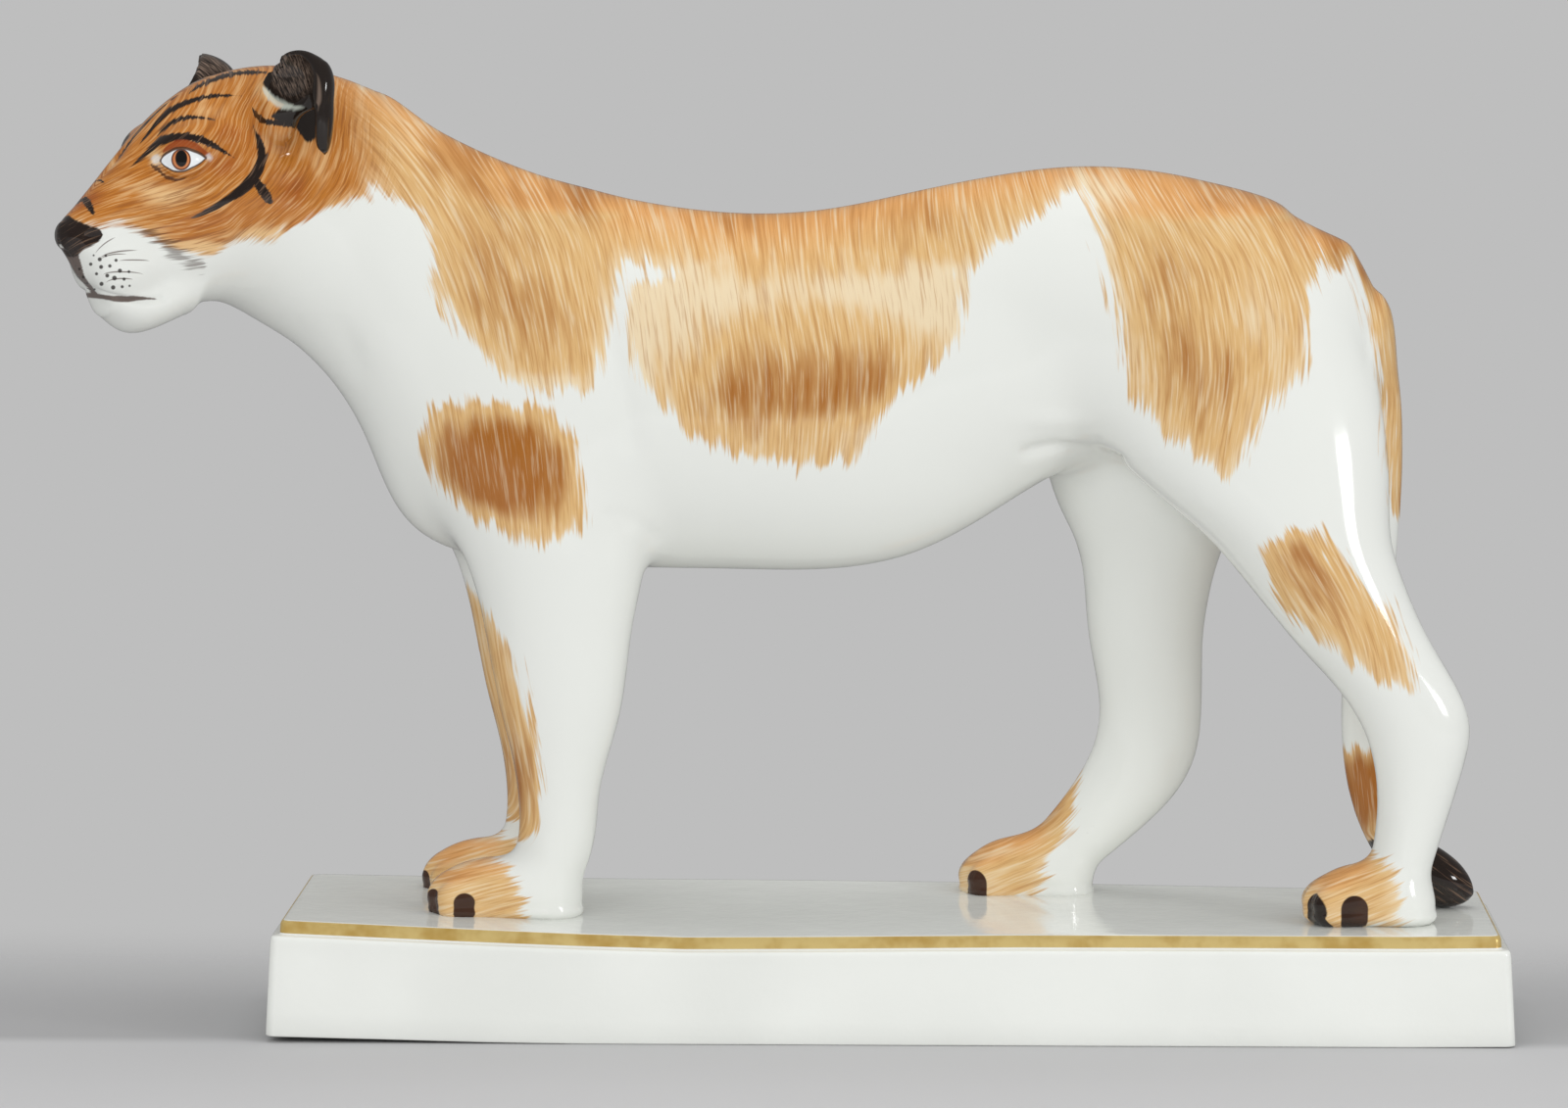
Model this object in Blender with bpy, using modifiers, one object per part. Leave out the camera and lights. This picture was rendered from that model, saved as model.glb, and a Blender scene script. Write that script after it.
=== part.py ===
"""Porcelain figurine of a walking lioness on a stepped, hollow plinth.

One fused and fired piece. Metres, +Z up; the head points to -X and the figure's left side faces -Y.
The origin is the bottom centre of the whole piece.
"""
import math

import bpy
import bmesh
from mathutils import Vector

# Plinth
PLINTH_LENGTH = 0.655
PLINTH_WIDTH = 0.187
PLINTH_CENTRE_X = 0.058
BLOCK_HEIGHT = 0.055
BLOCK_DRAFT = 0.0025
SLAB_HEIGHT = 0.008
SLAB_INSET = 0.005
PLINTH_EDGE_RADIUS = 0.0025
PLINTH_WALL = 0.008
PLINTH_ROOF = 0.009
CAVITY_CORNER_RADIUS = 0.006

# Stance: how far each pair of feet stands apart, and the line that the body walks on
WALK_LINE_Y = 0.012
FRONT_TRACK = 0.080
HIND_TRACK = 0.097
FAR_FRONT_LEAD = 0.012

# Trunk and neck: half widths
CHEST_HALF_WIDTH = 0.054
RIB_HALF_WIDTH = 0.060
WAIST_HALF_WIDTH = 0.047
HIP_HALF_WIDTH = 0.056
NECK_HALF_WIDTH = 0.047

# Head, measured from the joint at the top of the neck
HEAD_JOINT_X = -0.255
HEAD_JOINT_HEIGHT = 0.378
HEAD_TURN = math.radians(31.0)
HEAD_LENGTH = 0.145
CHEEK_HALF_WIDTH = 0.049
MUZZLE_HALF_WIDTH = 0.026
BROW_TURN = 0.45
EYE_SPREAD = 0.058
EYE_RADIUS = 0.0125
NOSE_RADIUS = 0.012
NOSTRIL_RADIUS = 0.0042
MOUTH_GROOVE_RADIUS = 0.0021

# Ears: upright shells that open ahead and outwards, with a folded rim that runs down to the cheek
EAR_SHARE = 0.258
EAR_SPREAD = 0.117
EAR_RISE = 0.060
EAR_HEIGHT = 0.039
EAR_WIDTH = 0.040
EAR_DEPTH = 0.024
EAR_TURN = math.radians(36.5)
EAR_WALL = 0.0060
EAR_CUP_DEPTH = 0.0105
EAR_RIM_HEIGHT = 0.052
EAR_RIM_THICKNESS = 0.010
FAR_EAR_DROP = 0.0040

# Muscles: how far the shoulder blade, the elbow and the thigh stand out of the body
SHOULDER_SWELL = 0.0022
ELBOW_SWELL = 0.0026
THIGH_SWELL = 0.0014

# Paws
PAW_LENGTH = 0.068
PAW_WIDTH = 0.044
PAW_HEIGHT = 0.031
TOE_COUNT = 4
TOE_RADIUS = 0.0085

# Tail
TAIL_ROOT_RADIUS = 0.0155
TAIL_RADIUS = 0.0115
TAIL_TUFT_RADIUS = 0.0150

# How far the whole figure is moved along X, so that its box is centred over the origin
CENTRING_SHIFT_X = -0.0018

# Casting: how far the feet sink in the plinth, and how fine the modelled skin is
SEAT_DEPTH = 0.003
SKIN_GRAIN = 0.0030
SKIN_SOFTENING = 8
SKIN_FACES = 0.071

TOP_Z = BLOCK_HEIGHT + SLAB_HEIGHT
RING_POINTS = 12
RING_SHRINK = (2 + math.cos(2 * math.pi / RING_POINTS)) / 3

# Each trunk ring: x and height of its top, x and height of its bottom, half width, and the share
# of the ring's height, from the top, at which it is widest. Heights are above the plinth.
TRUNK_RINGS = [
    (-0.300, 0.428, -0.312, 0.345, NECK_HALF_WIDTH * 0.72, 0.50),
    (-0.262, 0.444, -0.285, 0.316, NECK_HALF_WIDTH * 0.90, 0.50),
    (-0.212, 0.428, -0.262, 0.300, NECK_HALF_WIDTH, 0.50),
    (-0.178, 0.409, -0.240, 0.279, NECK_HALF_WIDTH * 1.04, 0.52),
    (-0.152, 0.397, -0.222, 0.248, CHEST_HALF_WIDTH * 0.98, 0.55),
    (-0.128, 0.388, -0.209, 0.206, CHEST_HALF_WIDTH, 0.55),
    (-0.105, 0.382, -0.176, 0.183, CHEST_HALF_WIDTH * 1.02, 0.55),
    (-0.078, 0.375, -0.095, 0.179, RIB_HALF_WIDTH * 0.97, 0.55),
    (-0.030, 0.368, -0.030, 0.179, RIB_HALF_WIDTH, 0.55),
    (0.020, 0.369, 0.020, 0.177, RIB_HALF_WIDTH * 0.97, 0.55),
    (0.070, 0.381, 0.070, 0.184, WAIST_HALF_WIDTH * 1.04, 0.54),
    (0.115, 0.390, 0.115, 0.211, WAIST_HALF_WIDTH, 0.52),
    (0.160, 0.396, 0.155, 0.238, HIP_HALF_WIDTH * 0.92, 0.50),
    (0.210, 0.391, 0.200, 0.245, HIP_HALF_WIDTH, 0.50),
    (0.255, 0.378, 0.245, 0.235, HIP_HALF_WIDTH * 0.94, 0.50),
    (0.297, 0.355, 0.282, 0.235, HIP_HALF_WIDTH * 0.74, 0.50),
    (0.312, 0.315, 0.304, 0.255, HIP_HALF_WIDTH * 0.40, 0.50),
]

# Each leg ring: x and height of its front, x and height of its back, half width, and the share of
# the half track at which its centre stands. Heights are above the plinth.
FRONT_LEG_RINGS = [
    (-0.158, 0.368, -0.100, 0.366, 0.020, 0.45),
    (-0.190, 0.320, -0.085, 0.318, 0.029, 0.56),
    (-0.196, 0.262, -0.072, 0.258, 0.034, 0.66),
    (-0.182, 0.216, -0.069, 0.206, 0.033, 0.76),
    (-0.163, 0.176, -0.075, 0.172, 0.027, 0.86),
    (-0.157, 0.145, -0.081, 0.145, 0.0235, 0.92),
    (-0.151, 0.110, -0.084, 0.110, 0.0215, 0.96),
    (-0.144, 0.086, -0.091, 0.086, 0.0195, 0.98),
    (-0.1400, 0.064, -0.0975, 0.064, 0.0180, 1.0),
    (-0.1390, 0.042, -0.0985, 0.040, 0.0180, 1.0),
    (-0.1430, 0.025, -0.1040, 0.020, 0.0185, 1.0),
    (-0.1500, 0.008, -0.1140, 0.004, 0.0190, 1.0),
]
NEAR_HIND_LEG_RINGS = [
    (0.170, 0.360, 0.262, 0.366, 0.026, 0.40),
    (0.148, 0.318, 0.300, 0.318, 0.036, 0.46),
    (0.152, 0.272, 0.320, 0.266, 0.038, 0.55),
    (0.184, 0.232, 0.322, 0.226, 0.036, 0.66),
    (0.223, 0.203, 0.321, 0.199, 0.032, 0.76),
    (0.241, 0.182, 0.327, 0.181, 0.0285, 0.82),
    (0.257, 0.162, 0.335, 0.160, 0.0255, 0.87),
    (0.273, 0.142, 0.346, 0.139, 0.0225, 0.92),
    (0.294, 0.121, 0.360, 0.117, 0.0195, 0.96),
    (0.309, 0.099, 0.366, 0.098, 0.0175, 1.0),
    (0.3150, 0.076, 0.3600, 0.075, 0.0165, 1.0),
    (0.3160, 0.054, 0.3530, 0.052, 0.0160, 1.0),
    (0.3130, 0.030, 0.3450, 0.028, 0.0165, 1.0),
    (0.3060, 0.010, 0.3400, 0.006, 0.0175, 1.0),
]
FAR_HIND_LEG_RINGS = [
    (0.160, 0.360, 0.262, 0.366, 0.026, 0.40),
    (0.138, 0.318, 0.286, 0.318, 0.036, 0.46),
    (0.134, 0.262, 0.282, 0.262, 0.038, 0.56),
    (0.143, 0.216, 0.258, 0.222, 0.035, 0.68),
    (0.158, 0.192, 0.238, 0.196, 0.031, 0.78),
    (0.162, 0.168, 0.230, 0.168, 0.0275, 0.86),
    (0.163, 0.141, 0.2255, 0.142, 0.0245, 0.92),
    (0.168, 0.119, 0.2255, 0.120, 0.0215, 0.96),
    (0.171, 0.098, 0.2255, 0.098, 0.0190, 1.0),
    (0.168, 0.078, 0.2240, 0.074, 0.0178, 1.0),
    (0.157, 0.058, 0.2120, 0.050, 0.0168, 1.0),
    (0.142, 0.038, 0.1850, 0.026, 0.0165, 1.0),
    (0.124, 0.020, 0.1600, 0.006, 0.0172, 1.0),
]

# Each head ring: share of the head's length, top and bottom above or below the joint, half width
HEAD_RINGS = [
    (-0.25, 0.052, -0.052, CHEEK_HALF_WIDTH * 0.72),
    (0.02, 0.066, -0.062, CHEEK_HALF_WIDTH * 0.90),
    (0.20, 0.070, -0.058, CHEEK_HALF_WIDTH * 1.00),
    (0.36, 0.066, -0.054, CHEEK_HALF_WIDTH * 0.98),
    (0.50, 0.057, -0.056, CHEEK_HALF_WIDTH * 0.86),
    (0.62, 0.045, -0.058, CHEEK_HALF_WIDTH * 0.68),
    (0.73, 0.031, -0.056, MUZZLE_HALF_WIDTH * 1.04),
    (0.84, 0.013, -0.050, MUZZLE_HALF_WIDTH * 0.98),
    (0.93, -0.001, -0.040, MUZZLE_HALF_WIDTH * 0.80),
    (1.00, -0.012, -0.026, MUZZLE_HALF_WIDTH * 0.44),
]
CHIN_RINGS = [
    (0.52, -0.030, -0.062, MUZZLE_HALF_WIDTH * 0.92),
    (0.66, -0.038, -0.070, MUZZLE_HALF_WIDTH * 0.92),
    (0.76, -0.040, -0.071, MUZZLE_HALF_WIDTH * 0.86),
    (0.85, -0.042, -0.062, MUZZLE_HALF_WIDTH * 0.62),
]

# Mouth line from the front of the lips to their corner: share of the head's length, share of the
# muzzle's half width, height from the joint
MOUTH_PATH = [
    (0.930, 0.0, -0.038),
    (0.900, 0.30, -0.046),
    (0.860, 0.62, -0.050),
    (0.800, 0.82, -0.052),
    (0.725, 0.94, -0.053),
    (0.670, 0.98, -0.053),
]

# Tail path: x, share of the way out from the walk line to the near or far side, and height
TAIL_PATH = [
    (0.288, 0.00, 0.340, TAIL_ROOT_RADIUS * 1.05),
    (0.307, 0.00, 0.312, TAIL_ROOT_RADIUS * 1.02),
    (0.316, 0.01, 0.272, TAIL_ROOT_RADIUS * 0.95),
    (0.318, 0.02, 0.220, TAIL_RADIUS * 1.10),
    (0.315, 0.05, 0.170, TAIL_RADIUS),
    (0.311, 0.08, 0.125, TAIL_RADIUS),
    (0.310, 0.10, 0.085, TAIL_RADIUS),
    (0.316, 0.11, 0.052, TAIL_RADIUS * 1.04),
    (0.330, 0.11, 0.027, TAIL_RADIUS * 1.15),
    (0.346, 0.10, 0.0150, TAIL_TUFT_RADIUS),
    (0.360, 0.09, 0.0130, TAIL_TUFT_RADIUS * 0.86),
    (0.370, 0.08, 0.0120, TAIL_TUFT_RADIUS * 0.40),
]


def clear_scene():
    for existing in list(bpy.data.objects):
        bpy.data.objects.remove(existing, do_unlink=True)


def make_collection(name):
    collection = bpy.data.collections.new(name)
    bpy.context.scene.collection.children.link(collection)
    return collection


def make_ring(top, bottom, side, half_width, widest=0.5):
    """Egg-shaped ring through top and bottom, as wide as asked across the side direction."""
    span = bottom - top
    centre = top + span * widest
    points = []
    for index in range(RING_POINTS):
        angle = 2 * math.pi * index / RING_POINTS
        rise = math.cos(angle)
        reach = -span * widest if rise > 0 else span * (1 - widest)
        point = centre + reach * abs(rise) / RING_SHRINK
        points.append(point + side * (half_width * math.sin(angle) / RING_SHRINK))
    return points


def loft(rings):
    """Cage of quads over a row of rings, closed with flat ends, then rounded by subdivision."""
    cage = bmesh.new()
    rows = [[cage.verts.new(point) for point in ring] for ring in rings]
    count = len(rows[0])
    for first, second in zip(rows, rows[1:]):
        for index in range(count):
            following = (index + 1) % count
            cage.faces.new((first[index], first[following], second[following], second[index]))
    cage.faces.new(list(reversed(rows[0])))
    cage.faces.new(rows[-1])
    bmesh.ops.recalc_face_normals(cage, faces=cage.faces)
    return rounded(cage)


def rounded(cage, levels=2):
    """Subdivide a cage with a Subdivision Surface modifier and hand back the fine mesh."""
    mesh = bpy.data.meshes.new("cage")
    cage.to_mesh(mesh)
    cage.free()
    holder = bpy.data.objects.new("cage", mesh)
    bpy.context.scene.collection.objects.link(holder)
    smooth = holder.modifiers.new("Round", 'SUBSURF')
    smooth.levels = levels
    smooth.render_levels = levels
    bpy.context.view_layer.update()
    evaluated = holder.evaluated_get(bpy.context.evaluated_depsgraph_get())
    fine = bpy.data.meshes.new_from_object(evaluated)
    bpy.data.objects.remove(holder, do_unlink=True)
    return fine


def ball(centre, radii, turn=0.0, tilt=0.0, cut_ahead=False):
    """Ellipsoid: radii along, across and up, turned about Z and tilted nose down.

    cut_ahead keeps only the half behind the middle plane.
    """
    cage = bmesh.new()
    bmesh.ops.create_icosphere(cage, subdivisions=3, radius=1.0)
    for vert in cage.verts:
        along = max(vert.co.x, 0.0) * radii[0] if cut_ahead else vert.co.x * radii[0]
        across = vert.co.y * radii[1]
        rise = vert.co.z * radii[2]
        leaning = along * math.cos(tilt) - rise * math.sin(tilt)
        rise = along * math.sin(tilt) + rise * math.cos(tilt)
        vert.co.x = centre.x + leaning * math.cos(turn) - across * math.sin(turn)
        vert.co.y = centre.y + leaning * math.sin(turn) + across * math.cos(turn)
        vert.co.z = centre.z + rise
    mesh = bpy.data.meshes.new("ball")
    cage.to_mesh(mesh)
    cage.free()
    return mesh


def trunk_form():
    rings = []
    for top_x, top_z, bottom_x, bottom_z, half_width, widest in TRUNK_RINGS:
        top = Vector((top_x, WALK_LINE_Y, TOP_Z + top_z))
        bottom = Vector((bottom_x, WALK_LINE_Y, TOP_Z + bottom_z))
        rings.append(make_ring(top, bottom, Vector((0, 1, 0)), half_width, widest))
    return loft(rings)


def leg_form(table, half_track, lead=0.0):
    """A leg: half_track is negative for the near side, lead moves it toward the head."""
    rings = []
    for front_x, front_z, back_x, back_z, half_width, out in table:
        y = WALK_LINE_Y + half_track * out
        front = Vector((front_x - lead, y, TOP_Z + front_z))
        back = Vector((back_x - lead, y, TOP_Z + back_z))
        rings.append(make_ring(front, back, Vector((0, 1, 0)), half_width))
    return loft(rings)


def paw_forms(heel_x, half_track):
    """A cat's paw: a low dome with four round toes in front and a pad behind."""
    y = WALK_LINE_Y + half_track
    base = TOP_Z - SEAT_DEPTH
    dome = Vector((heel_x - PAW_LENGTH * 0.46, y, base + PAW_HEIGHT * 0.44))
    forms = [ball(dome, (PAW_LENGTH * 0.50, PAW_WIDTH * 0.47, PAW_HEIGHT * 0.64))]
    heel = Vector((heel_x - PAW_LENGTH * 0.14, y, base + PAW_HEIGHT * 0.26))
    forms.append(ball(heel, (PAW_LENGTH * 0.24, PAW_WIDTH * 0.40, PAW_HEIGHT * 0.46)))
    for toe in range(TOE_COUNT):
        share = (toe + 0.5) / TOE_COUNT * 2 - 1
        across = share * (PAW_WIDTH / 2 - TOE_RADIUS * 0.45)
        forward = PAW_LENGTH * (0.84 - 0.16 * share * share)
        centre = Vector((heel_x - forward, y + across, base + TOE_RADIUS * 1.12))
        turn = -0.35 * share
        forms.append(ball(centre, (TOE_RADIUS * 1.55, TOE_RADIUS * 0.92, TOE_RADIUS * 1.25), turn))
    return forms


def head_point(forward, across, rise):
    """Point in the figure from head measures: forward to the nose, across to the near side."""
    cos_turn = math.cos(HEAD_TURN)
    sin_turn = math.sin(HEAD_TURN)
    x = HEAD_JOINT_X - forward * cos_turn + across * sin_turn
    y = WALK_LINE_Y - forward * sin_turn - across * cos_turn
    return Vector((x, y, TOP_Z + HEAD_JOINT_HEIGHT + rise))


def head_loft(table):
    side = Vector((math.sin(HEAD_TURN), -math.cos(HEAD_TURN), 0))
    rings = []
    for share, top, bottom, half_width in table:
        forward = share * HEAD_LENGTH
        rings.append(make_ring(head_point(forward, 0, top), head_point(forward, 0, bottom),
                               side, half_width))
    return loft(rings)


def head_forms():
    """Skull, chin, nose pad and, on both sides, the brow, lip and eye."""
    forms = [head_loft(HEAD_RINGS), head_loft(CHIN_RINGS)]
    for side in (-1, 1):
        brow = head_point(HEAD_LENGTH * 0.55, side * EYE_SPREAD * 0.48, 0.029)
        forms.append(ball(brow, (0.019, 0.010, 0.010), HEAD_TURN - side * BROW_TURN, 0.30))
        lip = head_point(HEAD_LENGTH * 0.78, side * MUZZLE_HALF_WIDTH * 0.50, -0.034)
        forms.append(ball(lip, (0.020, MUZZLE_HALF_WIDTH * 0.50, 0.016), HEAD_TURN, 0.35))
        eye = head_point(HEAD_LENGTH * 0.565, side * EYE_SPREAD / 2, 0.020)
        forms.append(ball(eye, (EYE_RADIUS, EYE_RADIUS * 0.72, EYE_RADIUS * 0.80),
                          HEAD_TURN - side * 0.35))
    nose = head_point(HEAD_LENGTH * 0.93, 0, -0.016)
    forms.append(ball(nose, (NOSE_RADIUS * 0.92, NOSE_RADIUS, NOSE_RADIUS * 0.75), HEAD_TURN, 0.5))
    return forms


class Ear:
    """Frame of one ear: its middle, the way that it opens and the way to its outer rim."""

    def __init__(self, side):
        self.turn = HEAD_TURN + side * EAR_TURN
        self.half_width = EAR_WIDTH / 2
        self.half_height = EAR_HEIGHT / 2
        self.opening = Vector((-math.cos(self.turn), -math.sin(self.turn), 0))
        self.outer = Vector((math.sin(self.turn), -math.cos(self.turn), 0)) * side
        rise = EAR_RISE - (FAR_EAR_DROP if side < 0 else 0.0)
        self.middle = head_point(HEAD_LENGTH * EAR_SHARE, side * EAR_SPREAD / 2, rise)

    def place(self, out, rise, ahead):
        return self.middle + self.outer * out + Vector((0, 0, rise)) + self.opening * ahead

    def forms(self):
        shell = ball(self.middle, (EAR_DEPTH, self.half_width, self.half_height), self.turn,
                     cut_ahead=True)
        rim_middle = self.place(self.half_width * 0.80, -EAR_RIM_HEIGHT * 0.27, -0.004)
        rim = ball(rim_middle, (0.0075, EAR_RIM_THICKNESS / 2, EAR_RIM_HEIGHT / 2), self.turn)
        root_middle = self.place(-self.half_width * 0.36, -self.half_height * 0.90, -0.014)
        root = ball(root_middle, (0.018, self.half_width * 0.84, 0.015), self.turn)
        return [shell, rim, root]

    def cutters(self):
        cup_radii = (EAR_CUP_DEPTH, self.half_width - EAR_WALL, self.half_height - EAR_WALL)
        cup = ball(self.place(-self.half_width * 0.12, 0.0015, 0.001), cup_radii, self.turn)
        hollow = ball(self.place(self.half_width * 0.42, -0.018, 0.003), (0.006, 0.0040, 0.010),
                      self.turn)
        return [cup, hollow]


def ear_forms():
    return [form for side in (-1, 1) for form in Ear(side).forms()]


def head_cutters():
    """Hollows carved in the head: the cups of the ears, the nostrils and the mouth line."""
    cutters = []
    for side in (-1, 1):
        cutters += Ear(side).cutters()
        nostril = head_point(HEAD_LENGTH * 0.95, side * NOSE_RADIUS * 1.25, -0.019)
        cutters.append(ball(nostril, (NOSTRIL_RADIUS * 1.1, NOSTRIL_RADIUS, NOSTRIL_RADIUS * 0.8),
                            HEAD_TURN))
        path = [head_point(share * HEAD_LENGTH, side * out * MUZZLE_HALF_WIDTH, rise)
                for share, out, rise in MOUTH_PATH]
        cutters.append(tube(path, [MOUTH_GROOVE_RADIUS] * len(path), Vector((0, 0, 1))))
    return cutters


def swell(centre_x, height, half_width, radii, rise, side):
    """Muscle: an ellipsoid whose skin stands rise proud of a body this wide at this place."""
    across = half_width + rise - radii[1]
    return ball(Vector((centre_x, WALK_LINE_Y + side * across, TOP_Z + height)), radii)


def muscle_forms():
    forms = []
    for side in (-1, 1):
        forms.append(swell(-0.150, 0.330, CHEST_HALF_WIDTH, (0.026, 0.030, 0.034),
                           SHOULDER_SWELL, side))
        forms.append(swell(-0.083, 0.204, CHEST_HALF_WIDTH * 0.98, (0.012, 0.014, 0.014),
                           ELBOW_SWELL, side))
        forms.append(swell(0.212, 0.300, HIP_HALF_WIDTH * 1.04, (0.044, 0.040, 0.044),
                           THIGH_SWELL, side))
    return forms


def tube(path, radii, cross):
    """Loft of round rings that stand square to a path, which never runs along the cross vector."""
    rings = []
    for index, centre in enumerate(path):
        before = path[max(index - 1, 0)]
        after = path[min(index + 1, len(path) - 1)]
        along = (after - before).normalized()
        out = along.cross(cross).normalized()
        side = out.cross(along).normalized()
        radius = radii[index]
        rings.append(make_ring(centre + out * radius, centre - out * radius, side, radius))
    return loft(rings)


def tail_form():
    path = [Vector((x, WALK_LINE_Y + out * HIND_TRACK, TOP_Z + z)) for x, out, z, _ in TAIL_PATH]
    return tube(path, [radius for _, _, _, radius in TAIL_PATH], Vector((0, 1, 0)))


def join_meshes(meshes, name):
    joined = bmesh.new()
    for mesh in meshes:
        joined.from_mesh(mesh)
        bpy.data.meshes.remove(mesh)
    result = bpy.data.meshes.new(name)
    joined.to_mesh(result)
    joined.free()
    return result


def drafted_box(name, length, width, low, high, draft, collection):
    """Box whose walls lean in by draft from its foot to its top."""
    bpy.ops.mesh.primitive_cube_add(size=1.0)
    box = bpy.context.active_object
    box.name = name
    for vert in box.data.vertices:
        lean = draft if vert.co.z > 0 else 0.0
        vert.co.x = math.copysign(length / 2 - lean, vert.co.x) + PLINTH_CENTRE_X
        vert.co.y = math.copysign(width / 2 - lean, vert.co.y)
        vert.co.z = high if vert.co.z > 0 else low
    for holder in list(box.users_collection):
        holder.objects.unlink(box)
    collection.objects.link(box)
    return box


def round_edges(box, width):
    bevel = box.modifiers.new("Soft edges", 'BEVEL')
    bevel.width = width
    bevel.segments = 2
    bevel.limit_method = 'ANGLE'


def hide_as_cutter(cutter):
    cutter.location.x = CENTRING_SHIFT_X
    cutter.hide_render = True
    cutter.display_type = 'WIRE'


def add_boolean(target, cutter, operation):
    cut = target.modifiers.new(operation.capitalize() + " " + cutter.name, 'BOOLEAN')
    cut.operation = operation
    cut.solver = 'EXACT'
    cut.object = cutter
    hide_as_cutter(cutter)


def add_skin(target, name):
    """Fuse everything in the object into one closed skin."""
    skin = target.modifiers.new(name, 'REMESH')
    skin.mode = 'VOXEL'
    skin.voxel_size = SKIN_GRAIN


def porcelain():
    material = bpy.data.materials.new("glazed_porcelain")
    material.use_nodes = True
    shader = material.node_tree.nodes["Principled BSDF"]
    shader.inputs["Base Color"].default_value = (0.80, 0.81, 0.78, 1.0)
    shader.inputs["Roughness"].default_value = 0.08
    shader.inputs["Metallic"].default_value = 0.0
    return material


def build():
    clear_scene()
    parts = make_collection("lioness_figurine")
    cutters = make_collection("cutters")

    forms = [trunk_form(), tail_form()] + head_forms() + ear_forms() + muscle_forms()
    forms.append(leg_form(FRONT_LEG_RINGS, -FRONT_TRACK / 2))
    forms.append(leg_form(FRONT_LEG_RINGS, FRONT_TRACK / 2, FAR_FRONT_LEAD))
    forms.append(leg_form(NEAR_HIND_LEG_RINGS, -HIND_TRACK / 2))
    forms.append(leg_form(FAR_HIND_LEG_RINGS, HIND_TRACK / 2))
    forms += paw_forms(FRONT_LEG_RINGS[-1][2], -FRONT_TRACK / 2)
    forms += paw_forms(FRONT_LEG_RINGS[-1][2] - FAR_FRONT_LEAD, FRONT_TRACK / 2)
    forms += paw_forms(NEAR_HIND_LEG_RINGS[-1][2], -HIND_TRACK / 2)
    forms += paw_forms(FAR_HIND_LEG_RINGS[-1][2], HIND_TRACK / 2)

    figure = bpy.data.objects.new("lioness_figure", join_meshes(forms, "lioness_figure"))
    figure.location.x = CENTRING_SHIFT_X
    parts.objects.link(figure)
    figure.data.materials.append(porcelain())

    add_skin(figure, "One skin")
    hollows = bpy.data.objects.new("head_hollows", join_meshes(head_cutters(), "head_hollows"))
    cutters.objects.link(hollows)
    add_boolean(figure, hollows, 'DIFFERENCE')
    add_skin(figure, "Skin over the hollows")
    soften = figure.modifiers.new("Soften", 'SMOOTH')
    soften.factor = 0.5
    soften.iterations = SKIN_SOFTENING
    thin = figure.modifiers.new("Fewer faces", 'DECIMATE')
    thin.ratio = SKIN_FACES

    block = drafted_box("plinth_block", PLINTH_LENGTH, PLINTH_WIDTH, 0.0, BLOCK_HEIGHT,
                        BLOCK_DRAFT, cutters)
    round_edges(block, PLINTH_EDGE_RADIUS)
    step = 2 * (BLOCK_DRAFT + SLAB_INSET)
    slab = drafted_box("plinth_slab", PLINTH_LENGTH - step, PLINTH_WIDTH - step,
                       BLOCK_HEIGHT - PLINTH_EDGE_RADIUS, TOP_Z, 0.0, cutters)
    round_edges(slab, PLINTH_EDGE_RADIUS / 2)
    cavity = drafted_box("plinth_cavity", PLINTH_LENGTH - 2 * PLINTH_WALL,
                         PLINTH_WIDTH - 2 * PLINTH_WALL, -PLINTH_ROOF, TOP_Z - PLINTH_ROOF,
                         BLOCK_DRAFT, cutters)
    round_edges(cavity, CAVITY_CORNER_RADIUS)
    add_boolean(block, slab, 'UNION')
    add_boolean(block, cavity, 'DIFFERENCE')
    add_boolean(figure, block, 'UNION')


build()
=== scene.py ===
import itertools
import math

import bmesh
import bpy
import numpy as np
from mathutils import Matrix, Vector


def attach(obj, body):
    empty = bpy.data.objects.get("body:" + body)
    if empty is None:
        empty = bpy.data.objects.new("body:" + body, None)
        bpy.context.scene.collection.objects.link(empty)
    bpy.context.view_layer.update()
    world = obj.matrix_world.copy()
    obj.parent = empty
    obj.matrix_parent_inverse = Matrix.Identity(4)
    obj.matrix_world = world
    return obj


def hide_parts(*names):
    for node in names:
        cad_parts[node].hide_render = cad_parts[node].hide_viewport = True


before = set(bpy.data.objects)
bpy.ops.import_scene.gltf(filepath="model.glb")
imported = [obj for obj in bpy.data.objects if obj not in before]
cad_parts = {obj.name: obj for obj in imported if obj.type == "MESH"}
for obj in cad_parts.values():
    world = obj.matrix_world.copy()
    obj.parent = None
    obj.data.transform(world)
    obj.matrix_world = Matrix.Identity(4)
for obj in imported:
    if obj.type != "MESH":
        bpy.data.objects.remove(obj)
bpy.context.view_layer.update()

# Porcelain figurine of a walking lioness on a stepped plinth with a gilt band, all in metres
# the head points to -X, the side that the photograph shows faces -Y

plinth = {
    "length": 0.655,
    "width": 0.187,
    "centreX": 0.058,
    "blockHeight": 0.055,
    "slabHeight": 0.008,
    "slabInset": 0.005,
    "draft": 0.0025,
    "edgeRadius": 0.0028,
    "wall": 0.008,
    "roof": 0.009,
}
plinthTop = plinth["blockHeight"] + plinth["slabHeight"]
centringShift = np.array([-0.0018, 0.0, 0.0])    # puts the box's middle over the origin

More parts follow.
